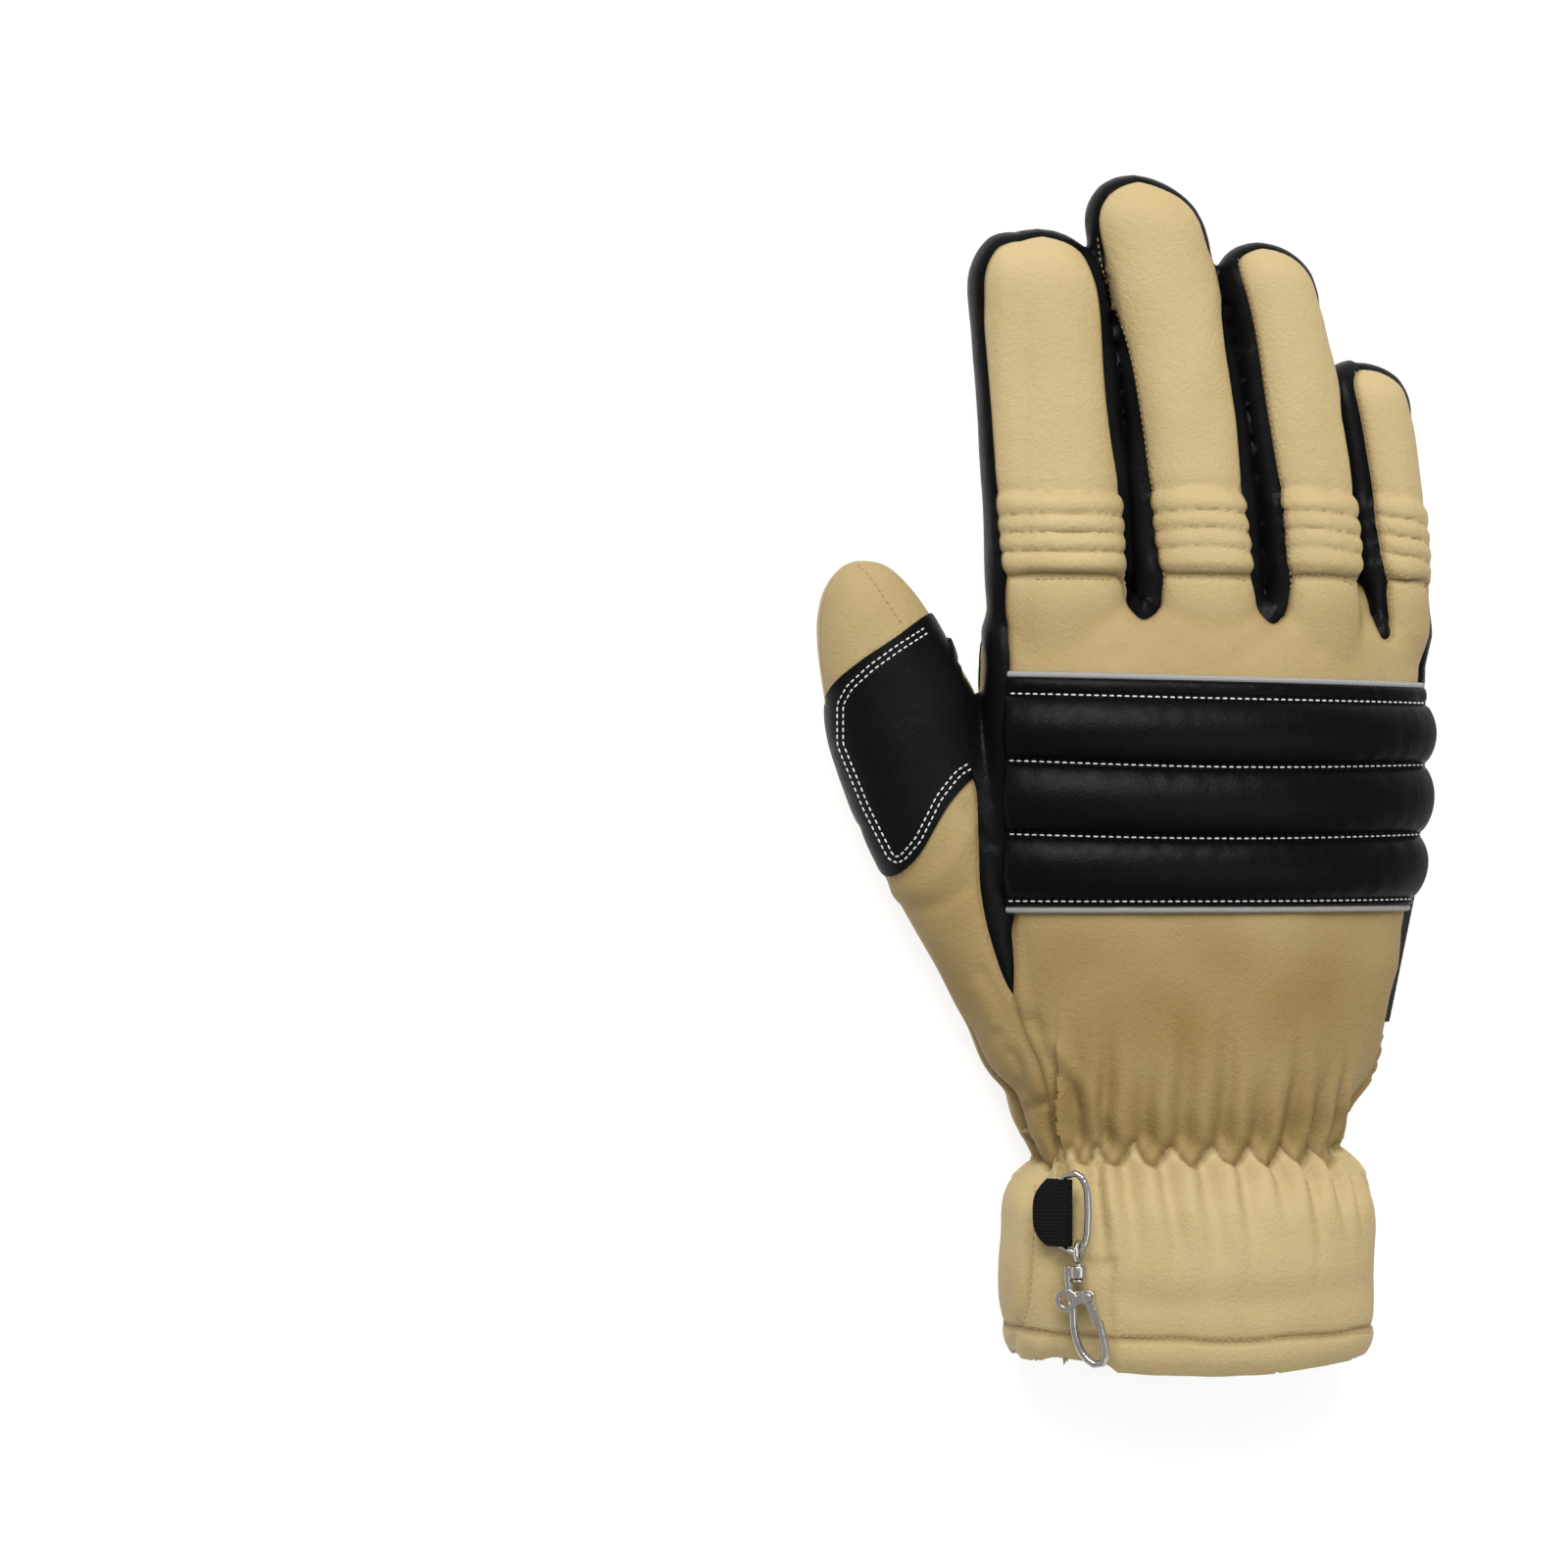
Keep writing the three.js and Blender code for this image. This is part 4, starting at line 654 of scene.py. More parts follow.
def panels_of(middles, normals):
    """Which panel each face of the skin belongs to, by the nearest solid and by the photograph's lines."""
    shell = [name for name in SHELL if name not in PATCHES]
    tree, owner = node_tree(shell)
    labels = np.array([owner[tree.find_nearest(Vector(p))[2]] for p in middles])
    flat = hand_units(middles)
    picture = in_picture(flat)
    seen = normals @ VIEW_AWAY > 0.12
    x, y = picture[:, 0], picture[:, 1]
    walls = np.array([NUMBER[name] for name in SHELL if name.startswith("gusset")])
    wrong = seen & np.isin(labels, walls) & (x > -51.3) & (x < 52) & (y < 133)
    labels[wrong & (y > GUARD_BOTTOM)] = NUMBER["back_panel"]
    labels[wrong & (y <= GUARD_BOTTOM)] = NUMBER["back_lower"]
    outside = seen & (labels == NUMBER["gusset_index_outer"]) & (x < -50) & (y < 116)
    labels[outside] = NUMBER["thumb_back"]
    seam_x = np.interp(y, THUMB_SEAM_Y, THUMB_SEAM_X)
    root = seen & (y > 3) & (y < 39.1) & np.isin(labels, [NUMBER["thumb_back"], NUMBER["back_lower"]])
    labels[root & (x < seam_x)] = NUMBER["thumb_back"]
    labels[root & (x >= seam_x)] = NUMBER["back_lower"]
    for name, outline in WALL_LINES.items():
        labels[seen & inside(picture, list(outline)) & (flat[:, 2] > 12)] = NUMBER[name]
    side_walls = [NUMBER[name] for name in SHELL if name.startswith("gusset")]
    backs = [NUMBER[name] for name in SHELL if name.startswith("finger_back")]
    nearest, across, over, before_tip, facing = round_fingers(flat)
    along_fingers = (flat[:, 1] > 136) & before_tip & np.isin(labels, side_walls + backs)
    in_walls = np.zeros(len(labels), bool)
    for outline in WALL_LINES.values():
        in_walls |= inside(picture, list(outline))
    for number, row in enumerate(FINGERS):
        own = along_fingers & (nearest == number)
        right = across > 0
        labels[own & facing & ~in_walls] = NUMBER[f"finger_back_{row['name']}"]
        beyond = own & ~facing & (over > -0.35)
        labels[beyond & ~right] = side_walls[number]
        labels[beyond & right] = side_walls[number + 1]
    strip = WALL_LINES["gusset_ring_pinky"]
    strip_y = [p[1] for p in strip[11:]]
    strip_x = [p[0] for p in strip[11:]]
    flank = seen & (labels == NUMBER["finger_back_pinky"]) & (x < np.interp(y, strip_y, strip_x))
    labels[flank & (y > 130)] = NUMBER["gusset_ring_pinky"]
    line = ZIGZAG_LOW + (ZIGZAG_HIGH - ZIGZAG_LOW) * zigzag_rise(zigzag_turns(x, seen))
    top = seen & (np.abs(y) < 9) & (x > ZIGZAG_X[0]) & (x < ZIGZAG_X[-1])
    labels[top & (y > line)] = NUMBER["back_lower"]
    labels[top & (y <= line)] = NUMBER["cuff_back"]
    labels[(normals[:, 1] < -0.75) & (flat[:, 1] < 6 - CUFF_LENGTH)] = MOUTH
    labels[under_patch("palm_patch", middles, normals) & (normals[:, 2] < 0)] = NUMBER["palm_patch"]
    labels[under_patch("thumb_patch", middles, normals) & ~seen] = NUMBER["thumb_patch"]
    thumb = np.isin(labels, [NUMBER["thumb_back"], NUMBER["thumb_front"], NUMBER["thumb_patch"]])
    labels[thumb & seen & inside(picture, list(PATCH_LINES))] = NUMBER["thumb_patch"]
    return labels


def face_neighbours(faces):
    shared = {}
    for i, face in enumerate(faces):
        for a, b in zip(face, face[1:] + face[:1]):
            shared.setdefault((min(a, b), max(a, b)), []).append(i)
    return shared


def without_specks(labels, shared, rounds=6, least=60):
    """Labels with lone faces, and lone groups of faces, given to the panel round them."""
    pairs = np.array([pair for pair in shared.values() if len(pair) == 2])
    count = labels.max() + 1
    for _ in range(rounds):
        votes = np.zeros((len(labels), count), int)
        np.add.at(votes, (pairs[:, 0], labels[pairs[:, 1]]), 1)
        np.add.at(votes, (pairs[:, 1], labels[pairs[:, 0]]), 1)
        best = votes.argmax(axis=1)
        labels = np.where(votes.max(axis=1) >= 3, best, labels)
    for _ in range(3):
        group = np.arange(len(labels))
        same = pairs[labels[pairs[:, 0]] == labels[pairs[:, 1]]]
        while True:
            low = np.minimum(group[same[:, 0]], group[same[:, 1]])
            before = group.copy()
            np.minimum.at(group, same[:, 0], low)
            np.minimum.at(group, same[:, 1], low)
            group = group[group]
            if (group == before).all():
                break
        size = np.bincount(group, minlength=len(labels))
        small = size[group] < least
        if not small.any():
            break
        votes = np.zeros((len(labels), count), int)
        edge = pairs[labels[pairs[:, 0]] != labels[pairs[:, 1]]]
        np.add.at(votes, (group[edge[:, 0]], labels[edge[:, 1]]), 1)
        np.add.at(votes, (group[edge[:, 1]], labels[edge[:, 0]]), 1)
        labels = np.where(small, votes[group].argmax(axis=1), labels)
    return labels


def evened(labels, faces, point_count, rounds=4):
    """Labels with ragged borders evened out, by the most common label round each corner."""
    count = labels.max() + 1
    corners = np.array([(f, i) for f, face in enumerate(faces) for i in face])
    for _ in range(rounds):
        round_point = np.zeros((point_count, count), int)
        np.add.at(round_point, (corners[:, 1], labels[corners[:, 0]]), 1)
        votes = np.zeros((len(labels), count), int)
        np.add.at(votes, corners[:, 0], round_point[corners[:, 1]])
        labels = votes.argmax(axis=1)
    return labels


def seam_edges(labels, shared):
    return np.array([
        edge for edge, pair in shared.items()
        if len(pair) == 2 and labels[pair[0]] != labels[pair[1]]])


def distance_to(points, places, reach=12 * MM):
    """How far each point is from the nearest of these places, up to a reach."""
    tree = KDTree(len(places))
    for i, p in enumerate(places):
        tree.insert(p, i)
    tree.balance()
    return np.array([min(tree.find(p)[2], reach) for p in points])


def face_values(faces, values):
    return np.array([values[list(f)].mean(axis=0) for f in faces])


def ramp(values, start, stop):
    """0 at and before one value and 1 at and past the other."""
    return np.clip((values - start) / (stop - start), 0, 1)


skin = whole_skin()
skin_points, skin_faces, skin_edges = arrays_of(skin)
bpy.data.objects.remove(skin)
skin_points = relaxed(skin_points, skin_edges, 2)
skin_normals = normals_of(skin_points, skin_faces)

# The skin is parted into panels, and their seams are drawn straight
middles = face_values(skin_faces, skin_points)
face_out = face_values(skin_faces, skin_normals)
labels = panels_of(middles, face_out)
shared = face_neighbours(skin_faces)
labels = without_specks(evened(labels, skin_faces, len(skin_points)), shared)
seams = seam_edges(labels, shared)
on_seam = np.zeros(len(skin_points))
on_seam[seams.ravel()] = 1.0
straight = relaxed(skin_points, seams, 8)
from_gather = np.abs(hand_units(straight)[:, 1])
straight = relaxed(straight, seams, 30, keep=ramp(from_gather, 7, 11))
even_tree = BVHTree.FromPolygons([Vector(p) for p in skin_points], skin_faces)
for i in np.nonzero(on_seam)[0]:
    skin_points[i] = even_tree.find_nearest(Vector(straight[i]))[0]
skin_points = relaxed(skin_points, skin_edges, 10, keep=1 - on_seam)
skin_normals = normals_of(skin_points, skin_faces)

# The walls between the fingers, where the skin is ragged, are smoothed further
flat = hand_units(skin_points)
gap_zone = np.zeros(len(skin_points))
for row, following in zip(FINGERS, FINGERS[1:]):
    middle = between_fingers(row, following, flat[:, 1])
    gap_zone += (np.abs(flat[:, 0] - middle) < 3.0) * (flat[:, 1] > 128) * (np.abs(skin_normals[:, 2]) < 0.5)
skin_points = relaxed(skin_points, skin_edges, 14, keep=np.clip(gap_zone, 0, 1) * (1 - on_seam))
skin_normals = normals_of(skin_points, skin_faces)

# Which panel each point lies in, and how far it is from a sunk seam
point_panel = np.zeros(len(skin_points), int)
for face, label in zip(skin_faces, labels):
    point_panel[list(face)] = label
patch_numbers = [NUMBER[name] for name in PATCHES]
wall_numbers = [NUMBER[name] for name in SHELL if name.startswith("gusset")]
sunk = [
    edge for edge in map(tuple, seams)
    if not any(labels[f] in patch_numbers or labels[f] == MOUTH for f in shared[edge])
    and not all(labels[f] in wall_numbers for f in shared[edge])]
from_seam = distance_to(skin_points, skin_points[np.unique(np.array(sunk))]) / MM

# How much the panels and their seams stand out from the skin or sink into it, in mm
OUTER_SWELL = 1.9
RING_SWELL = 1.2
INDEX_SWELL = 2.0
WALL_SWELL = 0.8
INDEX_WALL_SWELL = 1.4
PANEL_SWELL = 0.5
SEAM_DEPTH = 0.9
CUFF_LIFT = 0.35
HEM_LIFT = 0.5
HOOK_CLEARANCE = 0.9
MOST_LIFT = 4.0

# Creases, pleats, ribs, sunk seams and swelling panels stand out along the skin's own normals
flat = hand_units(skin_points)
upper = skin_normals @ VIEW_AWAY > 0
names = np.array([*SHELL, "mouth"])[point_panel]
height = creased(flat) + gathered(flat, upper)
height += rib_height(flat, names)
height += folded(flat, upper)
across, along = flat[:, 0], flat[:, 1]
outer_side = ramp(across, 30, 52) ** 2
beyond_guard = ramp(along, 124, 132)
beyond_guard += ramp(along, 56, 46) * (along > 8)
height += OUTER_SWELL * outer_side * beyond_guard
ring_side = np.isin(names, ["finger_back_ring"]) * ramp(across, 29, 38)
height += RING_SWELL * ring_side
between = np.isin(names, ["gusset_index_middle", "gusset_middle_ring", "gusset_ring_pinky"])
wall_middle = 1 - np.exp(-(from_seam / 2.0) ** 2)
height += np.where(between & (along > 130) & (along < 205), WALL_SWELL, 0) * wall_middle
index_wall = ramp(along, 126, 134) * ramp(along, 186, 174)
height += INDEX_WALL_SWELL * index_wall * (names == "gusset_index_middle") * wall_middle
shallow = np.where(along < -30, 0.55, 1.0)
height += PANEL_SWELL * (1 - np.exp(-(from_seam / 4.0) ** 2))
height -= SEAM_DEPTH * shallow * np.exp(-(from_seam / 1.0) ** 2)
in_cuff = np.isin(names, ["cuff_back", "cuff_palm"])
height += np.where(in_cuff & (along > -8), CUFF_LIFT, 0)
height += np.where(names == "cuff_hem", HEM_LIFT, 0)
index_side = ramp(across, -50, -55) * ramp(along, 124, 136)
index_side *= across > -68
height += INDEX_SWELL * index_side
height *= np.clip(flat[:, 2] / 4.0, 0.1, 1)

# The cuff lies a little lower where the snap hook swings over it
hook_low, hook_high = (hand_units(np.array(corner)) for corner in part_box("clasp_hook"))
off_hook = np.maximum(np.maximum(hook_low - flat, flat - hook_high), 0)[:, :2]
under_hook = np.exp(-(np.linalg.norm(off_hook, axis=1) / 5.0) ** 2) * upper
height = np.minimum(height, MOST_LIFT - (MOST_LIFT + HOOK_CLEARANCE) * under_hook)
skin_points = skin_points + skin_normals * (height * MM)[:, None]
skin_points[:, 2] = np.maximum(skin_points[:, 2], 0.15 * MM)
skin_normals = normals_of(skin_points, skin_faces)

# Painted shade: the leather's colour is darkened towards a warm brown on the lower back, the thumb's root and
# the wrist, where these turn away from the light
painted_shade = ramp(along, 100, 48) * np.isin(names, ["back_lower"])
thumb_painted_shade = 0.4 + 0.6 * ramp(along, 105, 50)
painted_shade += thumb_painted_shade * np.isin(names, ["thumb_back"]) * np.where(upper, 1, 0.4)
painted_shade += 0.5 * ramp(along, 148, 136) * np.isin(names, ["back_panel"])
painted_shade += 0.35 * ramp(along, 60, 20) * np.isin(names, ["palm_panel", "thumb_front"])
painted_shade += 0.18 * np.exp(-((along + 38) / 7) ** 2) * in_cuff
painted_shade *= 0.85 + 0.25 * soft_noise(flat, 18, 12)


def panel(name, chosen, thickness, nodes, lift=0.0):
    """A leather panel of the chosen faces of the skin, lifted off it, with its own thickness."""
    used = sorted({i for f in chosen for i in skin_faces[f]})
    place = {old: new for new, old in enumerate(used)}
    clear = np.clip(skin_points[used][:, 2:3] / (4 * MM), 0.25, 1)
    points = skin_points[used] + skin_normals[used] * lift * clear * MM
    points[:, 2] = np.maximum(points[:, 2], 0.1 * MM)
    obj = object_of(name, points, [tuple(place[i] for i in skin_faces[f]) for f in chosen])
    shade = obj.data.attributes.new("seam", "FLOAT", "POINT")
    shade.data.foreach_set("value", [float(from_seam[i]) for i in used])
    # Painted shade for each point, which the leather darkens towards brown
    shade_and_wear = obj.data.attributes.new("painted_shade", "FLOAT", "POINT")
    shade_and_wear.data.foreach_set("value", [float(painted_shade[i]) for i in used])
    only(obj)
    solid = obj.modifiers.new("thickness", "SOLIDIFY")
    solid.thickness = thickness * MM
    solid.offset = -1
    bpy.ops.object.modifier_apply(modifier=solid.name)
    bpy.ops.object.shade_smooth_by_angle(angle=math.radians(50))
    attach(obj, "glove")
    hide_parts(*nodes)
    return obj


# The mouth of the cuff stays open: it has no panel
panels = {}
for name, number in NUMBER.items():
    chosen = [int(f) for f in np.nonzero(labels == number)[0]]
    slot = "black_leather" if name in BLACK else "pale_leather"
    lift = 0.75 if name in PATCHES else 0.0
    panels[name] = panel(f"{name}_leather", chosen, LEATHER, [name], lift)


def strip_faces(rows, columns, closed=False):
    faces = []
    for r in range(rows - 1):
        for c in range(columns if closed else columns - 1):
            n = (c + 1) % columns
            faces.append((r * columns + c, r * columns + n, (r + 1) * columns + n, (r + 1) * columns + c))
    return faces


def slab(name, upper_grid, lower_grid):
    """A closed pad between an upper and a lower grid of points, in the row frame."""
    rows, columns = upper_grid.shape[:2]
    count = rows * columns
    top = strip_faces(rows, columns)
    faces = top + [tuple(i + count for i in reversed(f)) for f in top]
    rim = [*range(columns), *(r * columns + columns - 1 for r in range(1, rows))]
    rim += [*((rows - 1) * columns + c for c in range(columns - 2, -1, -1))]
    rim += [*(r * columns for r in range(rows - 2, 0, -1))]
    for a, b in zip(rim, rim[1:] + rim[:1]):
        faces.append((b, a, a + count, b + count))
    points = np.vstack([upper_grid.reshape(-1, 3), lower_grid.reshape(-1, 3)])
    return turned_outwards(object_of(name, points, faces))


# Knuckle guard: a thin flap along the top and three padded channels, drawn in by their stitch lines
GUARD_LINES = (63.6, 80.6, 99.3, 116.4)
GUARD_LEFT = -51.5
GUARD_RIGHT = math.radians(14)
GUARD_COLUMNS = 240
GUARD_ROWS = 150
PAD_HEIGHT = 3.9
SEAM_HEIGHT = 1.5
SEAM_HALF = 0.5


def guard_slant(y, x):
    """How far a line of the guard drops towards the little finger's side."""
    share = (y - GUARD_BOTTOM) / (GUARD_TOP - GUARD_BOTTOM)
    sag = -1.5 * np.sin((x + 52) / 108 * math.pi) * (1 - abs(2 * share - 1))
    return -2.4 * (x + 52) / 108 * share ** 2 + sag


def guard_row(y, columns):
    """Surface points across the back at a height of the guard, from its left to its right end."""
    sweep = np.linspace(GUARD_RIGHT, math.radians(176), 200)
    seen_x = in_picture(hand_ring(y, sweep))[:, 0]
    left = sweep[np.argmin(np.abs(seen_x - GUARD_LEFT))]
    ring = hand_ring(y, np.linspace(left, GUARD_RIGHT, columns))
    ring[:, 1] += guard_slant(y, ring[:, 0])
    return ring


def outwards(ring):
    """Directions off the back, square to a line across it."""
    up = np.cross(np.gradient(ring, axis=0), [0, -1, 0])
    up /= np.linalg.norm(up, axis=1)[:, None]
    return up * np.sign(up[:, 2:3] + 1e-9)


def guard_height(y, share, seed_points):
    """Height of the guard off the back at a place along it and a share across it, in mm."""
    lines = (GUARD_BOTTOM, *GUARD_LINES, GUARD_TOP)
    i = int(np.clip(np.searchsorted(lines, y) - 1, 0, len(lines) - 2))
    t = (y - lines[i] - SEAM_HALF) / (lines[i + 1] - lines[i] - 2 * SEAM_HALF)
    flap = i in (0, len(lines) - 2)
    swell = 0.7 if flap else PAD_HEIGHT
    full = np.sin(np.clip(t, 0, 1) * math.pi) ** 0.55
    ends = np.clip(np.minimum(share / 0.035, (1 - share) / 0.03), 0, 1)
    ends = np.sin(ends * math.pi / 2) ** 0.7
    near = min(abs(y - line) for line in GUARD_LINES)
    pucker = 0.34 * math.exp(-(near / 3.4) ** 2) * min(near / 1.2, 1) * seed_points
    slack = 0.16 * full * (not flap)
    return SEAM_HEIGHT + (swell * full + slack * seed_points * 0.5) * (0.25 + 0.75 * ends) + pucker * ends


guard_upper, guard_lower = [], []
for y in np.linspace(GUARD_BOTTOM + 0.4, GUARD_TOP - 0.4, GUARD_ROWS):
    ring = guard_row(y, GUARD_COLUMNS)
    share = np.linspace(0, 1, GUARD_COLUMNS)
    rough = soft_noise(np.column_stack([ring[:, 0], np.full(len(ring), y * 0.35), ring[:, 2]]), 3.4, 5)
    up = outwards(ring)
    tall = guard_height(y, share, rough)
    guard_upper.append(in_row_frame(ring + up * (tall + 0.4)[:, None]))
    guard_lower.append(in_row_frame(ring + up * 0.35))
guard = slab("knuckle_guard_pad", np.array(guard_upper), np.array(guard_lower))
only(guard)
bpy.ops.object.shade_smooth_by_angle(angle=math.radians(55))
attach(guard, "glove")
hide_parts("knuckle_guard")


def tube(name, line, radius, sides=10, closed=False):
    """A round tube along a line of points in the row frame, with rounded ends."""
    line = np.asarray(line, float)
    along = np.gradient(line, axis=0)
    if closed:
        along = np.roll(line, -1, axis=0) - np.roll(line, 1, axis=0)
    along /= np.linalg.norm(along, axis=1)[:, None]
    up = np.array([0.0, 0.0, 1.0])
    points = []
    for i, (p, t) in enumerate(zip(line, along)):
        side = np.cross(t, up)
        side /= max(np.linalg.norm(side), 1e-9)
        over = np.cross(side, t)
        thin = 1.0 if closed or 0 < i < len(line) - 1 else 0.35
        for turn in round_turn(sides):
            points.append(p + radius * thin * (math.cos(turn) * side + math.sin(turn) * over))
    faces = strip_faces(len(line), sides, closed=True)
    if closed:
        last = (len(line) - 1) * sides
        faces += [(last + k, last + (k + 1) % sides, (k + 1) % sides, k) for k in range(sides)]
    else:
        faces.append(tuple(reversed(range(sides))))
        faces.append(tuple(range((len(line) - 1) * sides, len(line) * sides)))
    obj = turned_outwards(object_of(name, points, faces))
    only(obj)
    bpy.ops.object.shade_smooth_by_angle(angle=math.radians(50))
    return obj


PIPING = 0.85
pipings = []
for name, y in (("piping_upper", GUARD_TOP + 0.3), ("piping_lower", GUARD_BOTTOM - 0.6)):
    ring = guard_row(y, 160)
    up = outwards(ring)
    piping = tube(f"{name}_cord", in_row_frame(ring + up * 1.05), PIPING * MM, 12)
    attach(piping, "glove")
    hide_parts(name)
    pipings.append(piping)


# Stitches: one small capsule of thread, laid again and again along each sewn line
def stitch_shape(length, thick):
    rings = [(-0.5, 0.35), (-0.3, 1.0), (0.3, 1.0), (0.5, 0.35)]
    points = [
        (length * along, thick / 2 * wide * math.cos(turn), thick / 2 * wide * math.sin(turn))
        for along, wide in rings for turn in round_turn(6)]
    faces = strip_faces(4, 6, closed=True) + [tuple(reversed(range(6))), tuple(range(18, 24))]
    return np.array(points), faces


def sewn(name, paths, length, pitch, thick, mat, proud=0.1):
    """Stitches along paths of (point, normal) pairs in the row frame, as one piece."""
    shape, faces = stitch_shape(length * MM, thick * MM)
    all_points, all_faces = [], []
    for path in paths:
        spots = np.array([p for p, _ in path])
        ups = np.array([n for _, n in path])
        run = np.concatenate([[0], np.cumsum(np.linalg.norm(np.diff(spots, axis=0), axis=1))])
        if run[-1] < pitch * MM:
            continue
        for at in np.arange(pitch * MM / 2, run[-1], pitch * MM):
            p = np.array([np.interp(at, run, spots[:, k]) for k in range(3)])
            ahead = np.array([np.interp(at + 0.4 * length * MM, run, spots[:, k]) for k in range(3)])
            back = np.array([np.interp(at - 0.4 * length * MM, run, spots[:, k]) for k in range(3)])
            up = np.array([np.interp(at, run, ups[:, k]) for k in range(3)])
            along = ahead - back
            if np.linalg.norm(along) < 1e-7:
                continue
            along /= np.linalg.norm(along)
            side = np.cross(up, along)
            side /= max(np.linalg.norm(side), 1e-9)
            over = np.cross(along, side)
            first = len(all_points) * len(shape)
            all_points.append(p + over * proud * MM + shape @ np.array([along, side, over]))
            all_faces += [tuple(i + first for i in f) for f in faces]
    if not all_points:
        return None
    obj = object_of(name, np.vstack(all_points), all_faces)
    obj.data.materials.append(mat)
    only(obj)
    bpy.ops.object.shade_smooth_by_angle(angle=math.radians(60))
    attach(obj, "glove")
    return obj


def beside(line, step):
    """A line in the picture moved sideways."""
    along = np.gradient(line, axis=0)
    along /= np.linalg.norm(along, axis=1)[:, None]
    return line + np.column_stack([-along[:, 1], along[:, 0]]) * step


def tree_of(*objects):
    corners, polygons = [], []
    for obj in objects:
        first = len(corners)
        corners += [v.co.copy() for v in obj.data.vertices]
        polygons += [tuple(first + i for i in p.vertices) for p in obj.data.polygons]
    return BVHTree.FromPolygons(corners, polygons)


def followed(rays, tree):
    """Where rays first meet a surface, with the way that the surface faces there."""
    path = []
    for start, way in rays:
        spot, out = tree.ray_cast(start, way)[:2]
        if spot is not None:
            path.append((np.array(spot), np.array(out)))
    return path


def seen_from_camera(line, tree):
    """Points of the picture followed along the view on to a surface."""
    eye = Vector(in_row_frame([PHOTO_MIDDLE + VIEW_AWAY * CAMERA_AWAY])[0])
    rays = []
    for x, y in line:
        target = PHOTO_MIDDLE + VIEW_RIGHT * (x - PICTURE_CENTRE[0]) + np.array([0, y - PICTURE_CENTRE[1], 0])
        rays.append((eye, (Vector(in_row_frame([target])[0]) - eye).normalized()))
    return followed(rays, tree)


def seen_from_below(line, tree):
    """Points of the glove's own frame followed upwards on to its palm."""
    upwards = Vector((0, 0, 1))
    rays = [(Vector(in_row_frame([(x, y, -PALM_THICKNESS)])[0]), upwards) for x, y in line]
    return followed(rays, tree)


def material(name, colour, roughness, metallic=0.0):
    mat = bpy.data.materials.new(name)
    mat.use_nodes = True
    shader = mat.node_tree.nodes["Principled BSDF"]
    shader.inputs["Base Color"].default_value = (*colour, 1)
    shader.inputs["Roughness"].default_value = roughness
    shader.inputs["Metallic"].default_value = metallic
    return mat, mat.node_tree, shader


def node(tree, kind, **inputs):
    made = tree.nodes.new(kind)
    for key, value in inputs.items():
        made.inputs[key.replace("_", " ")].default_value = value
    return made


def coloured(tree, colour_a, colour_b, factor):
    """A mix of two colours by a factor socket."""
    mix = tree.nodes.new("ShaderNodeMix")
    mix.data_type = "RGBA"
    for socket, colour in ((mix.inputs[6], colour_a), (mix.inputs[7], colour_b)):
        if isinstance(colour, tuple):
            socket.default_value = (*colour, 1)
        else:
            tree.links.new(colour, socket)
    tree.links.new(factor, mix.inputs[0])
    return mix.outputs[2]


def ranged(tree, value, low, high, to_low=0.0, to_high=1.0):
    """A value socket moved from one range to another, clamped."""
    made = tree.nodes.new("ShaderNodeMapRange")
    tree.links.new(value, made.inputs["Value"])
    for key, number in (("From Min", low), ("From Max", high), ("To Min", to_low), ("To Max", to_high)):
        made.inputs[key].default_value = number
    return made.outputs["Result"]


def raised(tree, shader, height, strength, distance):
    """Fine relief from a height socket."""
    bump = node(tree, "ShaderNodeBump", Strength=strength, Distance=distance)
    tree.links.new(height, bump.inputs["Height"])
    tree.links.new(bump.outputs["Normal"], shader.inputs["Normal"])


def leather(name, base, light, dark, painted_shade_colour, seam_shade, roughness, grain, specular=0.5):
    """Full-grain leather: mottled colour, darker seams, pores and fine creases."""
    mat, tree, shader = material(name, base, roughness)
    shader.inputs["Specular IOR Level"].default_value = specular
    place = tree.nodes.new("ShaderNodeTexCoord").outputs["Object"]
    mottle = node(tree, "ShaderNodeTexNoise", Scale=28.0, Detail=6.0, Roughness=0.62)
    speck = node(tree, "ShaderNodeTexNoise", Scale=420.0, Detail=3.0, Roughness=0.7)
    pores = node(tree, "ShaderNodeTexVoronoi", Scale=1500.0)
    wrinkle = node(tree, "ShaderNodeTexNoise", Scale=380.0, Detail=5.0, Roughness=0.6, Distortion=1.4)
    for texture in (mottle, speck, pores, wrinkle):
        tree.links.new(place, texture.inputs["Vector"])
    mottled = coloured(tree, dark, light, ranged(tree, mottle.outputs[0], 0.32, 0.68))
    flecked = coloured(tree, mottled, base, ranged(tree, speck.outputs[0], 0.35, 0.65, 0.25, 0.75))
    seam = tree.nodes.new("ShaderNodeAttribute")
    seam.attribute_name = "seam"
    near = ranged(tree, seam.outputs["Fac"], 0.2, 1.5, 0.7, 0.0)
    # Painted shade: the per-point shade attribute mixes the colour towards the warm brown shade colour
    painted_shade_input = tree.nodes.new("ShaderNodeAttribute")
    painted_shade_input.attribute_name = "painted_shade"
    with_painted_shade = coloured(tree, flecked, painted_shade_colour, painted_shade_input.outputs["Fac"])
    shaded = coloured(tree, with_painted_shade, seam_shade, near)
    tree.links.new(shaded, shader.inputs["Base Color"])
    shade_and_wear = ranged(tree, speck.outputs[0], 0.3, 0.7, roughness - 0.06, roughness + 0.08)
    tree.links.new(shade_and_wear, shader.inputs["Roughness"])
    height = tree.nodes.new("ShaderNodeMath")
    height.operation = "ADD"
    tree.links.new(pores.outputs["Distance"], height.inputs[0])
    tree.links.new(ranged(tree, wrinkle.outputs[0], 0.3, 0.7, 0.0, 1.6), height.inputs[1])
    raised(tree, shader, height.outputs[0], grain, 0.0004)
    return mat
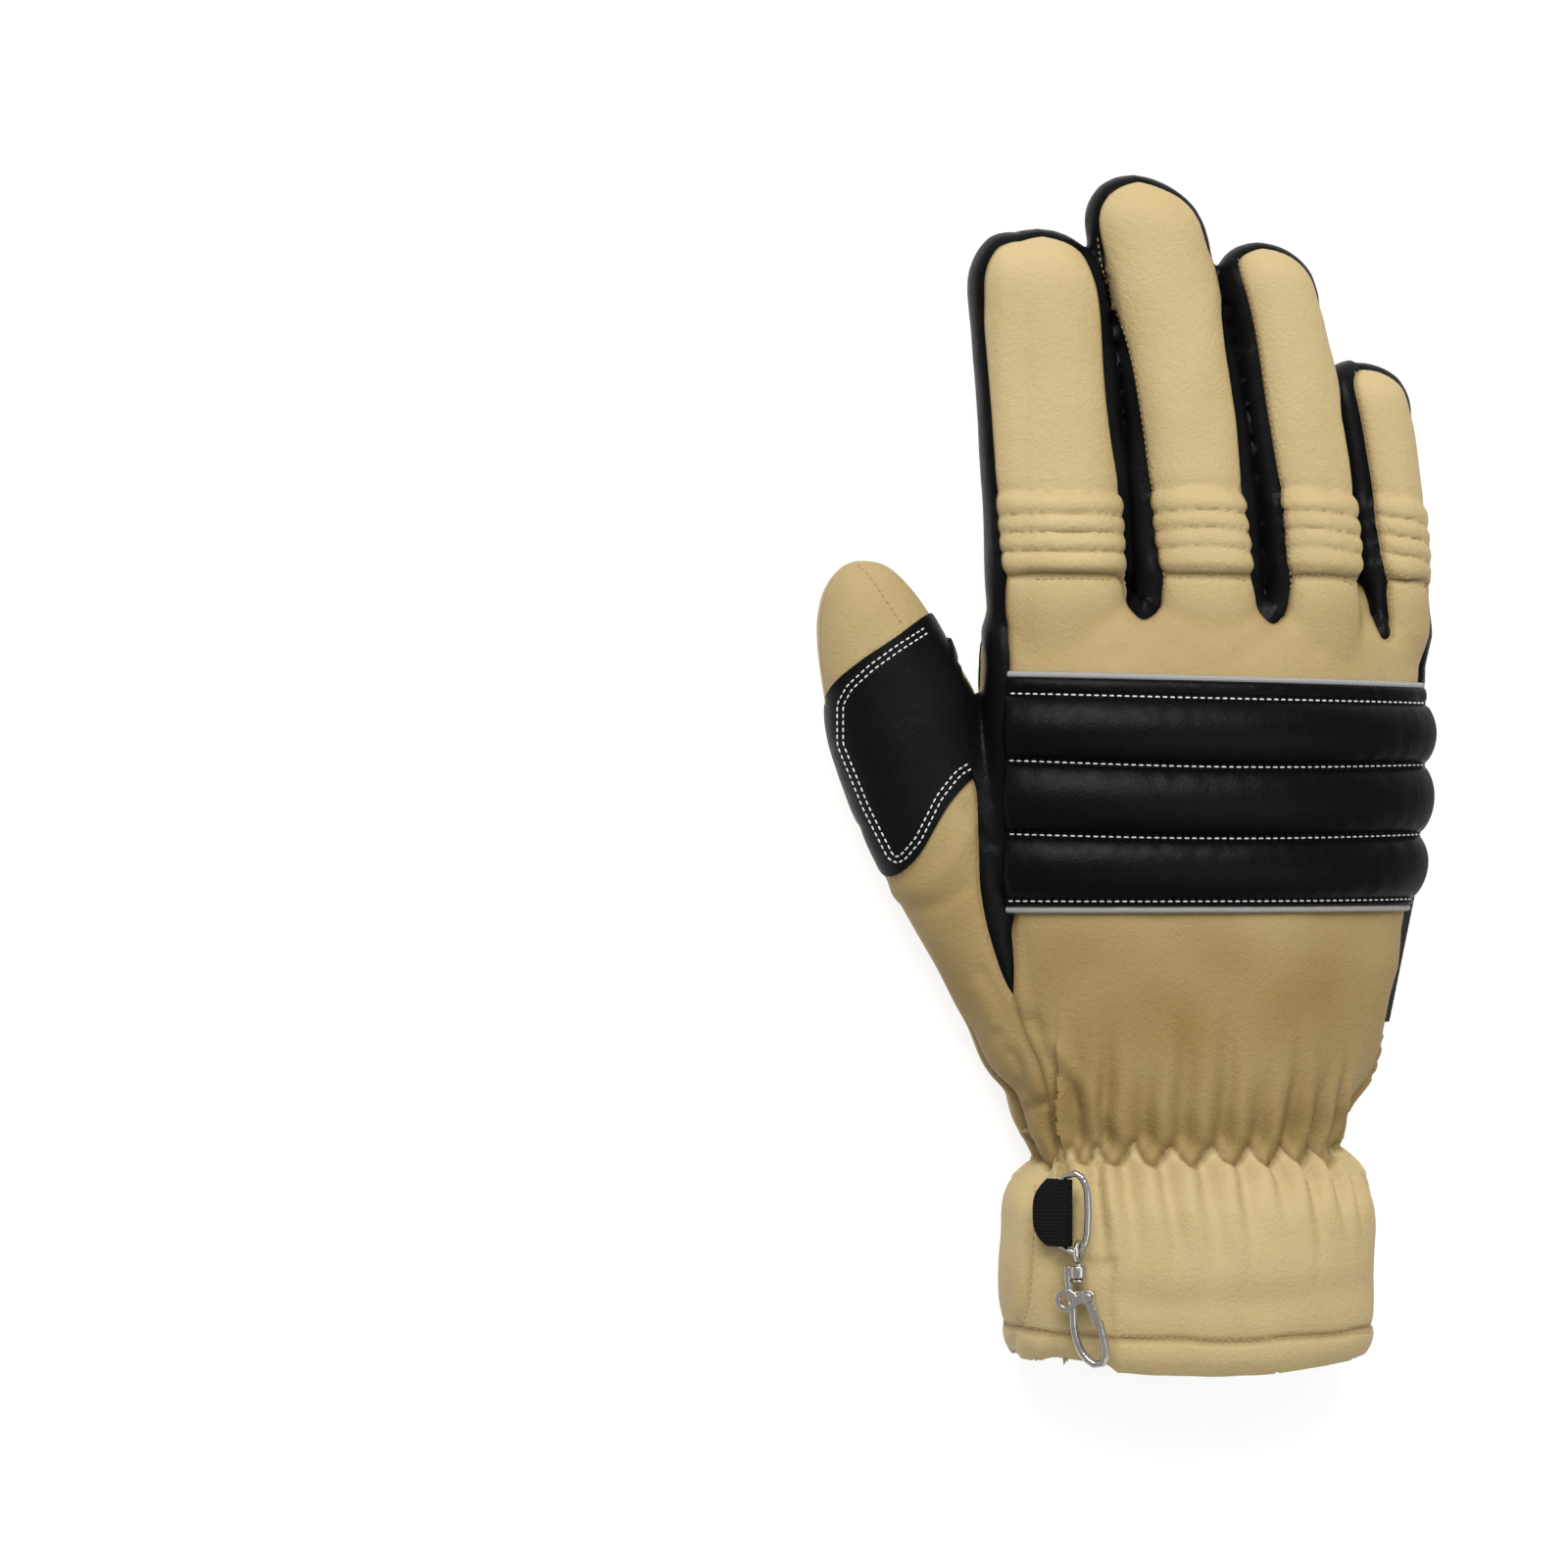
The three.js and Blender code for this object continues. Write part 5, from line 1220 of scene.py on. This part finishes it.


# Colours: base, light and dark mottle, the painted shade's warm brown, then the seam colour
PALE = leather(
    "pale_wheat_leather", (0.445, 0.342, 0.168), (0.475, 0.37, 0.19), (0.40, 0.30, 0.135),
    (0.24, 0.157, 0.05), (0.18, 0.115, 0.04), 0.66, 0.28, 0.3)
DARK = leather(
    "black_hide", (0.0034, 0.0034, 0.0040), (0.0055, 0.0055, 0.0062), (0.0022, 0.0022, 0.0027),
    (0.0034, 0.0034, 0.0040), (0.001, 0.001, 0.001), 0.36, 0.12, 0.075)
for name, obj in panels.items():
    obj.data.materials.append(DARK if name in BLACK else PALE)
guard.data.materials.append(DARK)


def woven(name, colour, dark, scale, roughness, depth, specular=0.4):
    """Braided or ribbed thread: fine crossing ribs in colour and height."""
    mat, tree, shader = material(name, colour, roughness)
    place = tree.nodes.new("ShaderNodeTexCoord").outputs["Object"]
    shader.inputs["Specular IOR Level"].default_value = specular
    both = tree.nodes.new("ShaderNodeMath")
    both.operation = "MULTIPLY"
    for socket, direction, pitch in ((0, "DIAGONAL", scale), (1, "Y", scale * 0.8)):
        rib = node(tree, "ShaderNodeTexWave", Scale=pitch, Distortion=0.4, Detail=2.0)
        rib.bands_direction = direction
        tree.links.new(place, rib.inputs["Vector"])
        tree.links.new(rib.outputs["Fac"], both.inputs[socket])
    tree.links.new(coloured(tree, dark, colour, both.outputs[0]), shader.inputs["Base Color"])
    raised(tree, shader, both.outputs[0], 0.6, depth)
    return mat


GREY = woven("grey_piping_weave", (0.42, 0.415, 0.40), (0.24, 0.235, 0.23), 900.0, 0.6, 0.0002)
WHITE_THREAD, _, _ = material("white_thread", (0.72, 0.71, 0.66), 0.7)
PALE_THREAD, _, _ = material("pale_thread", (0.36, 0.26, 0.11), 0.75)
for piping in pipings:
    piping.data.materials.append(GREY)

# Sewn lines on the guard
guard_paths = []
for y in GUARD_LINES:
    ring = guard_row(y, 200)
    up = outwards(ring)
    spots = in_row_frame(ring + up * (SEAM_HEIGHT + 0.5))
    guard_paths.append(list(zip(spots, up))[3:-3])
sewn("guard_stitches", guard_paths, 1.25, 1.95, 0.42, WHITE_THREAD)

# Double lines round the thumb's patch, and the palm patch's lines
THUMB_PATCH_LINE = (
    (-73.5, 134.5), (-80.5, 130), (-87.5, 125), (-93.5, 119.5), (-96.2, 114.5), (-96.2, 103.5),
    (-89.5, 87), (-83, 74), (-80, 72.4), (-77.3, 73.5), (-73, 78.5), (-67.5, 89.5), (-63, 95.2),
    (-59.3, 97.3),
)
patch_tree = tree_of(panels["thumb_patch"])
patch_line = smooth_line(THUMB_PATCH_LINE)
thumb_paths = [seen_from_camera(beside(patch_line, step), patch_tree) for step in (1.1, 2.6)]
sewn("thumb_patch_stitches", thumb_paths, 1.15, 1.8, 0.4, WHITE_THREAD)

PALM_TOP = ((52, 122.8), (27.7, 123.8), (1, 125.6), (-25.8, 126.6), (-48, 129.2), (-58.8, 132))
PALM_LOW = ((43, 36.6), (10, 39.8), (-12.5, 43.3), (-25.7, 45), (-36.5, 46.3))
TONGUE = (
    (52.6, 105.5), (51.5, 102.8), (27.7, 103.5), (10, 103.5), (1, 102), (-7, 99), (-9.8, 95.5), (-8, 91),
    (-2.5, 86.5), (45.5, 55.5),
)
palm_tree = tree_of(panels["palm_patch"])
palm_lines = []
for line, steps in ((PALM_TOP, (0.6, 2.2)), (PALM_LOW, (-0.6, -2.2)), (TONGUE, (0, 1.6))):
    drawn = smooth_line(line)
    palm_lines += [seen_from_below(beside(drawn, step), palm_tree) for step in steps]
THUMB_CROTCH = (
    (-75.3, 129), (-73.5, 121.5), (-70.8, 113), (-64.2, 102), (-57, 93.8), (-48.5, 86.3), (-43.5, 81.3),
)
palm_lines.append(seen_from_below(beside(smooth_line(THUMB_CROTCH), 1.2), tree_of(*panels.values())))
sewn("palm_stitches", palm_lines, 1.3, 2.0, 0.42, WHITE_THREAD)

# Fine seams in pale thread: the ribs' seam, the hem, the thumb's tip and the edges of the black walls
pale_tree = tree_of(*(panels[name] for name in SHELL if name not in PATCHES))
pale_lines = [
    ((-90, 149.8), (-87, 147), (-83.8, 142.3), (-78.5, 134.3)),
    ((-33.5, -46.5), (-16, -47.4), (2.3, -48.4), (22, -47.6), (42.5, -45.8)),
    ((-46, -44.4), (-34.5, -46.6)),
    ((-33.2, -47), (-32.9, -52), (-32.3, -57)),
    ((-44.7, -8), (-45, -20), (-45.4, -29), (-46.2, -39), (-47.6, -44)),
]
for row in FINGERS:
    bow, tilt = RIB_BOW[row["name"]]
    centre = finger_middle(row, RIB_SEAM)
    half = row["width"] * FINGER_WIDTH / 2 * 0.6
    across = np.linspace(-1, 1, 9)
    line = [(centre + half * a, RIB_SEAM - 0.3 + bow * (1 - a * a) + tilt * a, 38) for a in across]
    pale_lines.append([tuple(p - (0, 1.3)) for p in in_picture(line)])
pale_paths = [seen_from_camera(smooth_line(line), pale_tree) for line in pale_lines]
sewn("pale_stitches", pale_paths, 1.2, 1.9, 0.38, PALE_THREAD)

# The same thread along the finger backs, just inside their seams with the black walls
edge_paths = []
for outline, start, stop in (
    (WALL_LINES["gusset_index_middle"], 15, 27),
    (WALL_LINES["gusset_middle_ring"], 13, 22),
    (WALL_LINES["gusset_ring_pinky"], 11, 20),
):
    side = beside(smooth_line(outline[start:stop]), -0.8)
    edge_paths.append(seen_from_camera(side, pale_tree))
sewn("edge_stitches", edge_paths, 0.9, 1.7, 0.3, PALE_THREAD)


# Metal: each piece of the snap hook and its ring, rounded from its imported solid
def rounded_copy(name, new_name, voxel, rounds):
    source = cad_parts[name]
    obj = source.copy()
    obj.data = source.data.copy()
    obj.name = new_name
    bpy.context.scene.collection.objects.link(obj)
    obj.hide_render = False
    obj.hide_set(False)
    obj.data.materials.clear()
    shape = bmesh.new()
    shape.from_mesh(obj.data)
    bmesh.ops.remove_doubles(shape, verts=shape.verts, dist=1e-6)
    shape.to_mesh(obj.data)
    shape.free()
    only(obj)
    obj.data.remesh_voxel_size = voxel * MM
    bpy.ops.object.voxel_remesh()
    smooth = obj.modifiers.new("smooth", "SMOOTH")
    smooth.iterations = rounds
    bpy.ops.object.modifier_apply(modifier=smooth.name)
    bpy.ops.object.shade_smooth()
    return obj


def drawn_in(obj):
    """The webbing's sewn side, narrowed and rounded towards its two ends."""
    points = np.array([v.co for v in obj.data.vertices])
    low, high = points.min(axis=0), points.max(axis=0)
    right_edge = high[0] - 0.2 * (high[0] - low[0])
    along = (points[:, 1] - low[1]) / (high[1] - low[1])
    shrink = 0.86 - 0.42 * np.abs(2 * along - 1) ** 3
    left = points[:, 0] < right_edge
    points[left, 0] = right_edge + (points[left, 0] - right_edge) * shrink[left]
    obj.data.vertices.foreach_set("co", points.ravel())
    obj.data.update()


nickel, nickel_tree, nickel_shader = material("polished_nickel", (0.50, 0.48, 0.45), 0.16, 1.0)
place = nickel_tree.nodes.new("ShaderNodeTexCoord").outputs["Object"]
scuffs = node(nickel_tree, "ShaderNodeTexNoise", Scale=700.0, Detail=4.0)
nickel_tree.links.new(place, scuffs.inputs["Vector"])
scuffed = ranged(nickel_tree, scuffs.outputs[0], 0.3, 0.7, 0.12, 0.3)
nickel_tree.links.new(scuffed, nickel_shader.inputs["Roughness"])
WEBBING = woven(
    "black_webbing_weave", (0.006, 0.006, 0.0065), (0.002, 0.002, 0.002), 420.0, 0.75, 0.0005, 0.12)
for name, body, slot, mat, voxel, rounds in (
    ("clasp_hook", "hook", "polished_nickel", nickel, 0.28, 6),
    ("clasp_lever", "lever", "polished_nickel", nickel, 0.22, 3),
    ("clasp_swivel", "glove", "polished_nickel", nickel, 0.25, 5),
    ("d_ring", "glove", "polished_nickel", nickel, 0.28, 6),
    ("webbing_loop", "glove", "black_webbing", WEBBING, 0.35, 6),
    ("side_label", "glove", "black_label", WEBBING, 0.45, 4),
):
    piece = rounded_copy(name, f"{name}_round", voxel, rounds)
    if name == "webbing_loop":
        drawn_in(piece)
    piece.data.materials.append(mat)
    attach(piece, body)
    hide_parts(name)

# The camera
lens = bpy.data.cameras.new("camera")
lens.sensor_width = 36.0
lens.lens = 36.0 * CAMERA_AWAY / PHOTO_SPAN
lens.clip_start = 0.05
camera = bpy.data.objects.new("camera", lens)
bpy.context.scene.collection.objects.link(camera)
camera.location = Vector(in_row_frame([PHOTO_MIDDLE + VIEW_AWAY * CAMERA_AWAY])[0])
camera_axes = Matrix((Vector(VIEW_RIGHT), Vector((0, 1, 0)), Vector(VIEW_AWAY)))
camera.rotation_euler = camera_axes.transposed().to_euler()
bpy.context.scene.camera = camera

# White floor and soft studio light from beyond the fingers
bpy.context.scene.view_settings.view_transform = "Standard"
bpy.ops.mesh.primitive_plane_add(size=6, location=(0, 0, 0))
floor = bpy.context.active_object
floor.name = "studio_floor"
floor_white, _, floor_shader = material("floor_white", (0.92, 0.92, 0.92), 0.9)
floor_shader.inputs["Specular IOR Level"].default_value = 0.1
floor_shader.inputs["Base Color"].default_value = (0.3, 0.3, 0.3, 1)
floor_shader.inputs["Emission Color"].default_value = (1, 1, 1, 1)
floor_shader.inputs["Emission Strength"].default_value = 0.8
floor.data.materials.append(floor_white)


def soft_light(name, location, size, power):
    data = bpy.data.lights.new(name, "AREA")
    data.shape = "SQUARE"
    data.size = size
    data.energy = power
    lamp = bpy.data.objects.new(name, data)
    lamp.location = location
    lamp.rotation_euler = (-Vector(location)).to_track_quat("-Z", "Y").to_euler()
    bpy.context.scene.collection.objects.link(lamp)


soft_light("key_light", (-0.3, 1.5, 1.7), 1.6, 62)
soft_light("fill_light", (0.9, -0.6, 2.2), 1.8, 14)
world = bpy.data.worlds.new("studio")
bpy.context.scene.world = world
world.use_nodes = True
world.node_tree.nodes["Background"].inputs["Color"].default_value = (1, 1, 1, 1)
world.node_tree.nodes["Background"].inputs["Strength"].default_value = 0.42
